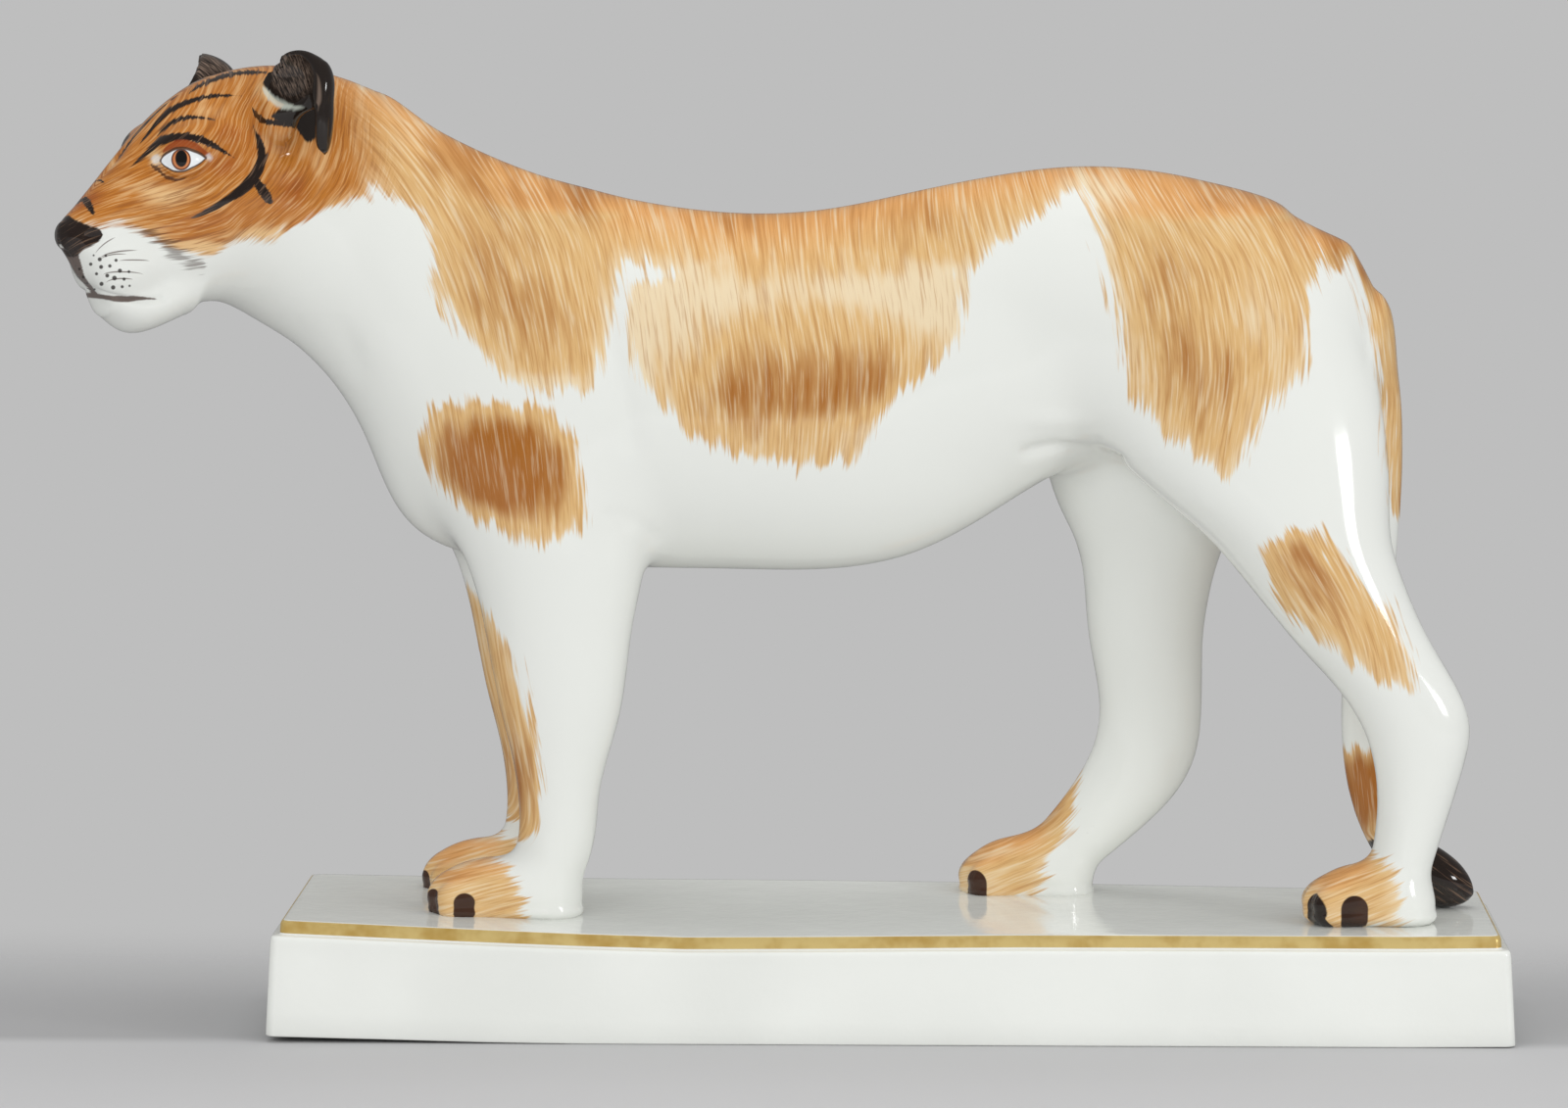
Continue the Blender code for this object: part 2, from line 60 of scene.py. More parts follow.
body = {
    "walkLine": 0.012,
    "frontTrack": 0.080,
    "hindTrack": 0.097,
    "farFrontLead": 0.012,
    "chest": 0.054,
    "rib": 0.060,
    "waist": 0.047,
    "hip": 0.056,
    "neck": 0.047,
}
head = {
    "jointX": -0.255,
    "jointHeight": 0.378,
    "turn": math.radians(31.0),
    "length": 0.145,
    "cheek": 0.049,
    "muzzle": 0.026,
    "earSpread": 0.122,
    "earShare": 0.250,
    "earRise": 0.062,
    "farEarDrop": 0.0030,
    "farEarOut": 0.0040,
    "earHeight": 0.034,
    "earWidth": 0.038,
    "earDepth": 0.024,
    "earTurn": math.radians(36.5),
    "earLobe": 0.048,
    "eyeSpread": 0.058,
    "eyeRadius": 0.0125,
}
paw = {
    "length": 0.068,
    "width": 0.044,
    "height": 0.031,
    "toes": 4,
    "toeRadius": 0.0085,
    "seat": 0.003,
    "nearFront": (1.09, 0.92),    # shares of the length and the height above
    "farFront": (1.04, 0.93),
    "nearHind": (0.90, 0.90),
    "farHind": (0.94, 0.95),
}
tail = {"root": 0.0155, "middle": 0.0115, "tuft": 0.0150}    # radii
skin = {
    "grid": 0.0042,      # cell of the net that finds the surface
    "probe": 0.0003,     # half the span that the slope is measured over
    "far": 0.05,         # distance given to points outside a form's box
    "margin": 0.022,     # how far that box stands out from the form
    "sunk": 0.0055,      # how deep the feet reach into the plinth
}

# top x, top height, bottom x, bottom height, half width, where it is widest
trunkRings = [
    (-0.300, 0.428, -0.312, 0.345, body["neck"] * 0.72, 0.50),
    (-0.262, 0.444, -0.285, 0.316, body["neck"] * 0.90, 0.50),
    (-0.212, 0.428, -0.262, 0.300, body["neck"], 0.50),
    (-0.178, 0.409, -0.240, 0.279, body["neck"] * 1.04, 0.52),
    (-0.152, 0.397, -0.222, 0.248, body["chest"] * 0.98, 0.55),
    (-0.128, 0.388, -0.209, 0.206, body["chest"], 0.55),
    (-0.105, 0.382, -0.176, 0.183, body["chest"] * 1.02, 0.55),
    (-0.078, 0.375, -0.095, 0.179, body["rib"] * 0.97, 0.55),
    (-0.030, 0.368, -0.030, 0.179, body["rib"], 0.55),
    (0.020, 0.369, 0.020, 0.177, body["rib"] * 0.97, 0.55),
    (0.070, 0.381, 0.070, 0.184, body["waist"] * 1.04, 0.54),
    (0.115, 0.390, 0.115, 0.211, body["waist"], 0.52),
    (0.160, 0.396, 0.155, 0.238, body["hip"] * 0.92, 0.50),
    (0.210, 0.391, 0.200, 0.245, body["hip"], 0.50),
    (0.255, 0.378, 0.245, 0.235, body["hip"] * 0.94, 0.50),
    (0.297, 0.355, 0.282, 0.235, body["hip"] * 0.74, 0.50),
    (0.312, 0.315, 0.304, 0.255, body["hip"] * 0.40, 0.50),
]
# front x, front height, back x, back height, half width, share of the half track
frontLegRings = [
    (-0.158, 0.368, -0.100, 0.366, 0.020, 0.45),
    (-0.190, 0.320, -0.085, 0.318, 0.029, 0.56),
    (-0.196, 0.262, -0.072, 0.258, 0.034, 0.66),
    (-0.182, 0.216, -0.069, 0.206, 0.033, 0.76),
    (-0.163, 0.176, -0.075, 0.172, 0.027, 0.86),
    (-0.157, 0.145, -0.081, 0.145, 0.0235, 0.92),
    (-0.151, 0.110, -0.084, 0.110, 0.0215, 0.96),
    (-0.144, 0.086, -0.091, 0.086, 0.0195, 0.98),
    (-0.1400, 0.064, -0.0975, 0.064, 0.0180, 1.0),
    (-0.1390, 0.042, -0.0985, 0.040, 0.0180, 1.0),
    (-0.1430, 0.025, -0.1040, 0.020, 0.0185, 1.0),
    (-0.1500, 0.008, -0.1140, 0.004, 0.0190, 1.0),
]
nearHindRings = [
    (0.170, 0.360, 0.262, 0.366, 0.026, 0.40),
    (0.148, 0.318, 0.300, 0.318, 0.036, 0.46),
    (0.152, 0.272, 0.320, 0.266, 0.038, 0.55),
    (0.184, 0.232, 0.322, 0.226, 0.036, 0.66),
    (0.223, 0.203, 0.321, 0.199, 0.032, 0.76),
    (0.241, 0.182, 0.327, 0.181, 0.0285, 0.82),
    (0.257, 0.162, 0.335, 0.160, 0.0255, 0.87),
    (0.273, 0.142, 0.346, 0.139, 0.0225, 0.92),
    (0.294, 0.121, 0.360, 0.117, 0.0195, 0.96),
    (0.309, 0.099, 0.366, 0.098, 0.0175, 1.0),
    (0.3150, 0.076, 0.3600, 0.075, 0.0165, 1.0),
    (0.3160, 0.054, 0.3530, 0.052, 0.0160, 1.0),
    (0.3130, 0.030, 0.3450, 0.028, 0.0165, 1.0),
    (0.3060, 0.010, 0.3400, 0.006, 0.0175, 1.0),
]
farHindRings = [
    (0.160, 0.360, 0.262, 0.366, 0.026, 0.40),
    (0.138, 0.318, 0.286, 0.318, 0.036, 0.46),
    (0.134, 0.262, 0.282, 0.262, 0.038, 0.56),
    (0.143, 0.216, 0.258, 0.222, 0.035, 0.68),
    (0.158, 0.192, 0.238, 0.196, 0.031, 0.78),
    (0.162, 0.168, 0.230, 0.168, 0.0275, 0.86),
    (0.163, 0.141, 0.2255, 0.142, 0.0245, 0.92),
    (0.168, 0.119, 0.2255, 0.120, 0.0215, 0.96),
    (0.171, 0.098, 0.2255, 0.098, 0.0190, 1.0),
    (0.168, 0.078, 0.2240, 0.074, 0.0178, 1.0),
    (0.157, 0.058, 0.2120, 0.050, 0.0168, 1.0),
    (0.142, 0.038, 0.1850, 0.026, 0.0165, 1.0),
    (0.124, 0.020, 0.1600, 0.006, 0.0172, 1.0),
]
# share of the head's length, top and bottom from the joint, half width
headRings = [
    (-0.25, 0.052, -0.052, head["cheek"] * 0.72),
    (0.02, 0.066, -0.062, head["cheek"] * 0.90),
    (0.20, 0.070, -0.058, head["cheek"] * 1.00),
    (0.36, 0.066, -0.054, head["cheek"] * 0.98),
    (0.50, 0.057, -0.056, head["cheek"] * 0.86),
    (0.61, 0.045, -0.058, head["cheek"] * 0.68),
    (0.71, 0.031, -0.056, head["muzzle"] * 1.04),
    (0.815, 0.013, -0.050, head["muzzle"] * 0.98),
    (0.90, -0.001, -0.040, head["muzzle"] * 0.80),
    (0.97, -0.012, -0.026, head["muzzle"] * 0.44),
]
chinRings = [
    (0.52, -0.030, -0.062, head["muzzle"] * 0.92),
    (0.65, -0.038, -0.070, head["muzzle"] * 0.92),
    (0.74, -0.040, -0.071, head["muzzle"] * 0.86),
    (0.82, -0.042, -0.062, head["muzzle"] * 0.62),
]
# x, share of the hind track out from the walk line, height, radius
tailPath = [
    (0.288, 0.00, 0.340, tail["root"] * 1.05),
    (0.307, 0.00, 0.312, tail["root"] * 1.02),
    (0.316, 0.01, 0.272, tail["root"] * 0.95),
    (0.318, 0.02, 0.220, tail["middle"] * 1.10),
    (0.315, 0.05, 0.170, tail["middle"]),
    (0.311, 0.08, 0.125, tail["middle"]),
    (0.310, 0.10, 0.085, tail["middle"]),
    (0.316, 0.11, 0.052, tail["middle"] * 1.04),
    (0.330, 0.11, 0.027, tail["middle"] * 1.15),
    (0.344, 0.10, 0.0155, tail["tuft"]),
    (0.354, 0.09, 0.0105, tail["tuft"] * 0.92),
    (0.362, 0.08, 0.0070, tail["tuft"] * 0.70),
    (0.368, 0.08, 0.0045, tail["tuft"] * 0.36),
    (0.370, 0.08, 0.0035, tail["tuft"] * 0.12),
]

ySide = np.array([0.0, 1.0, 0.0])
headAhead = np.array([-math.cos(head["turn"]), -math.sin(head["turn"]), 0.0])
headNear = np.array([math.sin(head["turn"]), -math.cos(head["turn"]), 0.0])
headJoint = np.array([head["jointX"], body["walkLine"], plinthTop + head["jointHeight"]])


def headPoint(forward, across, rise):
    # the head's joint plus lengths ahead, out to the near side and up
    return headJoint + headAhead * forward + headNear * across + np.array([0.0, 0.0, rise])


def splineRows(rows, steps):
    # uniform cubic B-spline over rows of numbers, carried to both end rows
    control = np.asarray(rows, float)
    control = np.vstack([2 * control[0] - control[1], control, 2 * control[-1] - control[-2]])
    spans = len(control) - 3
    t = np.linspace(0, spans, spans * steps + 1)
    i = np.minimum(t.astype(int), spans - 1)
    u = (t - i)[:, None]
    weights = ((1 - u) ** 3, 3 * u ** 3 - 6 * u ** 2 + 4, -3 * u ** 3 + 3 * u ** 2 + 3 * u + 1, u ** 3)
    return sum(weight / 6 * control[i + k] for k, weight in enumerate(weights))


def loftForm(tops, bottoms, side, widths, widest=0.5, steps=8):
    # a row of egg-shaped sections, each in the plane of its top, its bottom and the side direction
    count = len(tops)
    table = np.column_stack([tops, bottoms, widths, np.broadcast_to(widest, (count,))])
    rows = splineRows(table, steps)
    span = rows[:, 3:6] - rows[:, :3]
    reach = np.linalg.norm(span, axis=1)
    up = -span / reach[:, None]
    centre = rows[:, :3] + span * rows[:, 7:8]
    normal = np.cross(up, side)
    travel = np.gradient(centre, axis=0)
    normal *= np.sign(np.sum(normal * travel, axis=1))[:, None]
    normal /= np.linalg.norm(normal, axis=1)[:, None]
    corners = np.vstack([rows[:, :3], rows[:, 3:6]])
    spread = np.abs(side) * rows[:, 6].max() + skin["margin"]
    return {
        "kind": "loft", "centre": centre, "up": up, "normal": normal, "side": side,
        "above": reach * rows[:, 7], "below": reach * (1 - rows[:, 7]), "half": rows[:, 6],
        "low": corners.min(0) - spread, "high": corners.max(0) + spread,
    }


def loftDistance(form, points):
    # finds the two sections a point lies between, blends them, then measures to that ellipse
    centre, normal = form["centre"], form["normal"]
    ahead = points @ normal.T - np.sum(centre * normal, axis=1)
    away = (np.sum(points ** 2, axis=1)[:, None] - 2 * points @ centre.T + np.sum(centre ** 2, axis=1))
    between = (ahead[:, :-1] >= 0) & (ahead[:, 1:] < 0)
    pick = np.argmin(np.where(between, away[:, :-1], np.inf), axis=1)
    row = np.arange(len(points))
    free = ~between[row, pick]
    atStart = away[:, 0] < away[:, -1]
    pick = np.where(free, np.where(atStart, 0, len(centre) - 2), pick)
    first, second = ahead[row, pick], ahead[row, pick + 1]
    share = np.where(free, np.where(atStart, 0.0, 1.0), first / np.maximum(first - second, 1e-9))
    over = np.where(free, np.where(atStart, -ahead[:, 0], ahead[:, -1]), 0.0)
    over = np.maximum(over, 0.0)

    def carried(values):
        # the values of the two sections, blended by the point's share
        low, high = values[pick], values[pick + 1]
        blend = share if values.ndim == 1 else share[:, None]
        return low + (high - low) * blend

    offset = points - carried(centre)
    rise = np.sum(offset * carried(form["up"]), axis=1)
    across = offset @ form["side"]
    tall = np.where(rise > 0, carried(form["above"]), carried(form["below"]))
    wide = carried(form["half"])
    cap = np.minimum(tall, wide) * 0.4
    return ellipsoidDistance((rise, across, over), (tall, wide, cap))


def ellipsoidDistance(offsets, radii):
    # first-order distance to an ellipsoid: q (q - 1) / |grad|
    q = np.sqrt(sum((o / r) ** 2 for o, r in zip(offsets, radii))) + 1e-9
    slope = np.sqrt(sum((o / r ** 2) ** 2 for o, r in zip(offsets, radii))) + 1e-9
    small = np.minimum(np.minimum(radii[0], radii[1]), radii[2])
    return np.maximum(q * (q - 1) / slope, -small)


def ballForm(centre, radii, turn=0.0, tilt=0.0):
    # ellipsoid with radii along, across and up, tilted nose down and then turned about Z
    lean = np.array([[math.cos(tilt), 0, -math.sin(tilt)], [0, 1, 0], [math.sin(tilt), 0, math.cos(tilt)]])
    spin = np.array([[math.cos(turn), -math.sin(turn), 0], [math.sin(turn), math.cos(turn), 0], [0, 0, 1]])
    reach = max(radii) + skin["margin"]
    return {"kind": "ball", "centre": np.asarray(centre, float), "radii": radii, "axes": spin @ lean,
            "low": np.asarray(centre) - reach, "high": np.asarray(centre) + reach}


def ballDistance(form, points):
    # the points in the ellipsoid's own axes, measured there
    local = (points - form["centre"]) @ form["axes"]
    radii = [np.full(len(points), r) for r in form["radii"]]
    return ellipsoidDistance((local[:, 0], local[:, 1], local[:, 2]), radii)


def measure(form, points):
    # distance to a form, worked out only within its box, in lots that fit the memory
    distance = np.full(len(points), skin["far"])
    near = np.all((points > form["low"]) & (points < form["high"]), axis=1)
    if near.any():
        inside = points[near]
        kind = loftDistance if form["kind"] == "loft" else ballDistance
        found = [kind(form, inside[k:k + 20000]) for k in range(0, len(inside), 20000)]
        distance[near] = np.concatenate(found)
    return distance


def smoothJoin(a, b, radius):
    # the smaller distance, less a parabola where the two are closer than the radius
    overlap = np.maximum(radius - np.abs(a - b), 0) / radius
    return np.minimum(a, b) - overlap * overlap * radius / 4


def smoothCut(a, b, radius):
    # the larger of a and minus b, rounded in the same way
    return -smoothJoin(-a, b, radius)


def trunkForm():
    # upright sections between the back's outline and the belly's
    table = np.array(trunkRings)
    y = np.full(len(table), body["walkLine"])
    tops = np.column_stack([table[:, 0], y, plinthTop + table[:, 1]])
    bottoms = np.column_stack([table[:, 2], y, plinthTop + table[:, 3]])
    return loftForm(tops, bottoms, ySide, table[:, 4], table[:, 5])


def legForm(rings, halfTrack, lead=0.0):
    # sections from a row's front point to its back point, set out from the walk line
    table = np.array(rings)
    y = body["walkLine"] + halfTrack * table[:, 5]
    front = np.column_stack([table[:, 0] - lead, y, plinthTop + table[:, 1]])
    back = np.column_stack([table[:, 2] - lead, y, plinthTop + table[:, 3]])
    return loftForm(front, back, ySide, table[:, 4])


def pawForms(heelX, halfTrack, short, low):
    # two ellipsoids for the foot, and a fan of turned ellipsoids for its toes
    y = body["walkLine"] + halfTrack
    base = plinthTop - paw["seat"]
    length, height = paw["length"] * short, paw["height"] * low
    width, toe = paw["width"], paw["toeRadius"]
    forms = [ballForm((heelX - length * 0.46, y, base + height * 0.44),
                      (length * 0.50, width * 0.47, height * 0.64)),
             ballForm((heelX - length * 0.14, y, base + height * 0.26),
                      (length * 0.24, width * 0.40, height * 0.46))]
    for k in range(paw["toes"]):
        share = (k + 0.5) / paw["toes"] * 2 - 1
        centre = (heelX - length * (0.84 - 0.16 * share * share), y + share * (width / 2 - toe * 0.45),
                  base + toe * 1.12)
        forms.append(ballForm(centre, (toe * 1.55, toe * 0.92, toe * 1.25), -0.35 * share))
    return forms


def headLoft(rings):
    # sections along the head's own axis, placed by shares of its length
    table = np.array(rings)
    tops = np.array([headPoint(share * head["length"], 0, top) for share, top, bottom, half in rings])
    bottoms = np.array([headPoint(share * head["length"], 0, bottom) for share, top, bottom, half in rings])
    return loftForm(tops, bottoms, headNear, table[:, 3])


def tailForm():
    # round sections square to the tail's path
    table = np.array(tailPath)
    out = body["walkLine"] + table[:, 1] * body["hindTrack"]
    path = np.column_stack([table[:, 0], out, plinthTop + table[:, 2]])
    along = np.gradient(path, axis=0)
    behind = np.cross(along, ySide)
    behind /= np.linalg.norm(behind, axis=1)[:, None]
    radius = table[:, 3]
    return loftForm(path + behind * radius[:, None], path - behind * radius[:, None], ySide, radius)


def earForms(side):
    # a shell that opens ahead and outwards, its cup, the folded outer rim, the hollow beside it,
    # and the root that carries it on the head
    turn = head["turn"] + side * head["earTurn"]
    opening = -np.array([math.cos(turn), math.sin(turn), 0.0])
    outer = np.array([math.sin(turn), -math.cos(turn), 0.0]) * side
    wide, tall = head["earWidth"] / 2, head["earHeight"] / 2
    depth, lobe = head["earDepth"], head["earLobe"] / 2
    drop, out = (head["farEarDrop"], head["farEarOut"]) if side < 0 else (0.0, 0.0)
    rise = head["earRise"] - drop
    middle = headPoint(head["length"] * head["earShare"], side * (head["earSpread"] / 2 + out), rise)
    up = np.array([0.0, 0.0, 1.0])
    shell = ballForm(middle, (depth, wide, tall), turn)
    cup = ballForm(middle - outer * wide * 0.16 + up * 0.0015 + opening * 0.001,
                   (0.0115, wide * 0.68, tall * 0.74), turn)
    rim = ballForm(middle + outer * wide * 0.80 - up * lobe * 0.61 - opening * 0.004,
                   (0.0075, 0.0050, lobe), turn)
    hollow = ballForm(middle + outer * wide * 0.40 - up * 0.018 + opening * 0.002,
                      (0.007, 0.0042, 0.011), turn)
    root = ballForm(middle - outer * wide * 0.62 - up * tall * 0.92 - opening * 0.005,
                    (0.0095, 0.0115, 0.0165), turn)
    return {"middle": middle, "opening": opening, "shell": shell, "cup": cup, "rim": rim,
            "hollow": hollow, "root": root}


def earDistance(ear, points):
    # the shell without its half behind the opening's plane, joined to the rim
    ahead = (points - ear["middle"]) @ ear["opening"]
    shell = smoothCut(measure(ear["shell"], points), -ahead, 0.006)
    return smoothJoin(shell, measure(ear["rim"], points), 0.006)


trunk = trunkForm()
tailShape = tailForm()
legs = [legForm(frontLegRings, -body["frontTrack"] / 2),
        legForm(frontLegRings, body["frontTrack"] / 2, body["farFrontLead"]),
        legForm(nearHindRings, -body["hindTrack"] / 2),
        legForm(farHindRings, body["hindTrack"] / 2)]
frontHeel = frontLegRings[-1][2]
paws = [pawForms(frontHeel, -body["frontTrack"] / 2, *paw["nearFront"]),
        pawForms(frontHeel - body["farFrontLead"], body["frontTrack"] / 2, *paw["farFront"]),
        pawForms(nearHindRings[-1][2], -body["hindTrack"] / 2, *paw["nearHind"]),
        pawForms(farHindRings[-1][2], body["hindTrack"] / 2, *paw["farHind"])]
skull, chin = headLoft(headRings), headLoft(chinRings)
brows = [ballForm(headPoint(head["length"] * 0.55, side * head["eyeSpread"] * 0.48, 0.029),
                  (0.019, 0.010, 0.010), head["turn"] - side * 0.45, 0.30) for side in (-1, 1)]
lips = [ballForm(headPoint(head["length"] * 0.755, side * head["muzzle"] * 0.50, -0.034),
                 (0.020, head["muzzle"] * 0.50, 0.016), head["turn"], 0.35) for side in (-1, 1)]
nose = ballForm(headPoint(head["length"] * 0.90, 0, -0.016), (0.011, 0.012, 0.009), head["turn"], 0.5)
eyes = [ballForm(headPoint(head["length"] * 0.565, side * head["eyeSpread"] / 2, 0.020),
                 (head["eyeRadius"], head["eyeRadius"] * 0.72, head["eyeRadius"] * 0.80),
                 head["turn"] - side * 0.35) for side in (-1, 1)]
ears = [earForms(side) for side in (-1, 1)]


def figureDistance(points):
    # every form joined with a rounded seam, less the ears' hollows and all below the plinth's top
    points = points - centringShift
    distance = measure(trunk, points)
    for leg, toes in zip(legs, paws):
        limb = measure(leg, points)
        foot = measure(toes[0], points)
        foot = smoothJoin(foot, measure(toes[1], points), 0.006)
        for toe in toes[2:]:
            foot = smoothJoin(foot, measure(toe, points), 0.0060)
        distance = smoothJoin(distance, smoothJoin(limb, foot, 0.010), 0.016)
    tailRoot = np.clip((points[:, 2] - 0.33) / 0.05, 0, 1)
    distance = smoothJoin(distance, measure(tailShape, points), 0.006 + 0.018 * tailRoot)
    face = smoothJoin(measure(skull, points), measure(chin, points), 0.008)
    for form, radius in [(brows[0], 0.010), (brows[1], 0.010), (lips[0], 0.008), (lips[1], 0.008),
                         (nose, 0.006), (eyes[0], 0.003), (eyes[1], 0.003)]:
        face = smoothJoin(face, measure(form, points), radius)
    distance = smoothJoin(distance, face, 0.022)
    for ear in ears:
        distance = smoothJoin(distance, measure(ear["root"], points), 0.010)
        distance = smoothJoin(distance, earDistance(ear, points), 0.007)
        distance = smoothCut(distance, measure(ear["cup"], points), 0.005)
        distance = smoothCut(distance, measure(ear["hollow"], points), 0.005)
    flare = np.maximum(0.004 - (points[:, 2] - plinthTop), 0)    # glaze pools where a foot meets the plinth
    distance -= np.minimum(flare, 0.004) ** 2 / 0.008
    return np.maximum(distance, plinthTop - skin["sunk"] - points[:, 2])


def netSurface(low, high, step):
    # one point in each grid cell that the surface crosses, at the mean of its edge crossings
    axes = [np.arange(low[k], high[k] + step, step) for k in range(3)]
    grid = np.stack(np.meshgrid(*axes, indexing="ij"), -1)
    size = np.array(grid.shape[:3])
    value = figureDistance(grid.reshape(-1, 3)).reshape(size)
    solid = value < 0
    cells = size - 1

    def corner(array, i, j, k):
        # the same corner of every cell
        return array[i:i + cells[0], j:j + cells[1], k:k + cells[2]]

    filled = sum(corner(solid, *offset).astype(int) for offset in itertools.product((0, 1), repeat=3))
    used = (filled > 0) & (filled < 8)
    index = np.full(cells, -1)
    index[used] = np.arange(used.sum())
    total = np.zeros((used.sum(), 3))
    hits = np.zeros(used.sum())
    for axis in range(3):
        others = [k for k in range(3) if k != axis]
        for a, b in itertools.product((0, 1), repeat=2):
            start = [0, 0, 0]
            start[others[0]], start[others[1]] = a, b
            end = list(start)
            end[axis] = 1
            first, second = corner(value, *start)[used], corner(value, *end)[used]
            cross = (first < 0) != (second < 0)
            place = corner(grid, *start)[used]
            place[:, axis] += step * np.where(cross, first / np.where(cross, first - second, 1), 0)
            total += place * cross[:, None]
            hits += cross
    faces = []
    for axis in range(3):
        u, v = (axis + 1) % 3, (axis + 2) % 3
        low1 = np.moveaxis(solid, (axis, u, v), (0, 1, 2))
        cell = np.moveaxis(index, (axis, u, v), (0, 1, 2))
        here, there = low1[:-1, 1:-1, 1:-1], low1[1:, 1:-1, 1:-1]
        ring = np.stack([cell[:, :-1, :-1], cell[:, 1:, :-1], cell[:, 1:, 1:], cell[:, :-1, 1:]], -1)
        faces.append(ring[here & ~there])
        faces.append(ring[~here & there][:, ::-1])
    return total / hits[:, None], np.concatenate(faces)


def slope(points):
    # value and gradient from four probes at the corners of a small tetrahedron
    probes = np.array([(1, -1, -1), (-1, -1, 1), (-1, 1, -1), (1, 1, 1)]) * skin["probe"]
    values = [figureDistance(points + probe) for probe in probes]
    gradient = sum(value[:, None] * probe for value, probe in zip(values, probes)) / (4 * skin["probe"] ** 2)
    return sum(values) / 4, gradient


def settle(points, rounds, chosen=None):
    # Newton steps onto the zero of the distance
    points = points.copy()
    chosen = np.ones(len(points), bool) if chosen is None else chosen
    for _ in range(rounds):
        value, gradient = slope(points[chosen])
        step = value / np.maximum(np.sum(gradient ** 2, axis=1), 0.2)
        points[chosen] -= np.clip(step, -0.003, 0.003)[:, None] * gradient
    return points


def relax(points, edges, rounds):
    # moves each point halfway to the mean of its neighbours
    count = np.bincount(edges.ravel(), minlength=len(points))[:, None]
    for _ in range(rounds):
        total = np.zeros_like(points)
        for k in range(3):
            total[:, k] = (np.bincount(edges[:, 0], points[edges[:, 1], k], len(points))
                           + np.bincount(edges[:, 1], points[edges[:, 0], k], len(points)))
        points = points * 0.5 + total / count * 0.5
    return points


def meshArrays(mesh):
    # the points and the edges as two tables
    points = np.zeros(len(mesh.vertices) * 3)
    mesh.vertices.foreach_get("co", points)
    edges = np.zeros(len(mesh.edges) * 2, dtype=np.int32)
    mesh.edges.foreach_get("vertices", edges)
    return points.reshape(-1, 3), edges.reshape(-1, 2)


def setPoints(mesh, points):
    # puts moved points back into the mesh
    mesh.vertices.foreach_set("co", points.astype(np.float32).ravel())
    mesh.update()


def headMillimetres(points):
    # ahead of the head's joint, out from its middle plane (near side positive) and up, in mm
    away = (points - headJoint - centringShift) * 1000
    return np.column_stack([away @ headAhead, away @ headNear, away[:, 2]])


def refine(mesh, wanted):
    # splits each face whose middle is wanted into four
    middles = np.zeros(len(mesh.polygons) * 3)
    mesh.polygons.foreach_get("center", middles)
    chosen = np.flatnonzero(wanted(middles.reshape(-1, 3)))
    sheet = bmesh.new()
    sheet.from_mesh(mesh)
    sheet.faces.ensure_lookup_table()
    rims = list({rim for k in chosen for rim in sheet.faces[k].edges})
    bmesh.ops.subdivide_edges(sheet, edges=rims, cuts=1, use_grid_fill=True)
    bmesh.ops.triangulate(sheet, faces=[face for face in sheet.faces if len(face.verts) > 4])
    sheet.to_mesh(mesh)
    sheet.free()
    points, edges = meshArrays(mesh)
    setPoints(mesh, settle(points, 2, wanted(points)))


def onHead(points):
    # points within the head's box, in its own mm
    f, n, z = headMillimetres(points).T
    return (f > -12) & (f < 160) & (np.abs(n) < 85) & (z > -78)


def onFace(points):
    # the head ahead of the cheeks, and the ears
    f, n, z = headMillimetres(points).T
    return onHead(points) & ((f > 70) | ((np.abs(n) > 34) & (z > 38)))


def onPaws(points):
    # points less than a paw's height above the plinth
    return (points[:, 2] < 0.112) & (points[:, 2] > plinthTop - 0.003)


print("figure: grid", flush=True)
gridLow = np.array([-0.395, -0.082, plinthTop - 0.012])
gridHigh = np.array([0.385, 0.102, 0.530])
netPoints, netFaces = netSurface(gridLow, gridHigh, skin["grid"])
mesh = bpy.data.meshes.new("lioness_skin")
mesh.from_pydata(netPoints.tolist(), [], netFaces.tolist())
mesh.update()
points, edges = meshArrays(mesh)
points = settle(relax(points, edges, 3), 2)
points = settle(relax(points, edges, 2), 2)
setPoints(mesh, points)
print("figure: points", len(mesh.vertices), flush=True)
refine(mesh, onHead)
refine(mesh, onFace)
refine(mesh, onPaws)
points, edges = meshArrays(mesh)
fineSkin = onFace(points)
for _ in range(2):
    eased = relax(points, edges, 2)
    points = settle(np.where(fineSkin[:, None], eased, points), 2, fineSkin)
setPoints(mesh, points)
print("figure: points after refining", len(mesh.vertices), flush=True)

# swellings in mm: middle, radii, height; the figure's own x, distance from the walk line, z
bodySwells = [
    ((-152, 44, 398), (26, 22, 30), 2.2),
    ((-128, 44, 352), (20, 20, 22), 1.2),
    ((-166, 40, 300), (22, 20, 26), 1.4),
    ((-82, 36, 266), (7, 12, 10), 2.6),
    ((-112, 38, 260), (14, 16, 22), 1.2),
    ((126, 40, 372), (24, 22, 24), -2.6),
    ((96, 34, 300), (30, 22, 20), -1.0),
    ((142, 34, 324), (20, 14, 5), 1.6),
    ((212, 50, 372), (36, 26, 40), 1.2),
    ((262, 40, 300), (22, 20, 34), 0.9),
    ((300, 36, 222), (14, 18, 24), -1.0),
    ((-96, 44, 372), (8, 20, 34), -1.8),
    ((-232, 30, 408), (18, 18, 16), -1.4),
    ((-214, 32, 380), (14, 18, 26), 1.2),
]
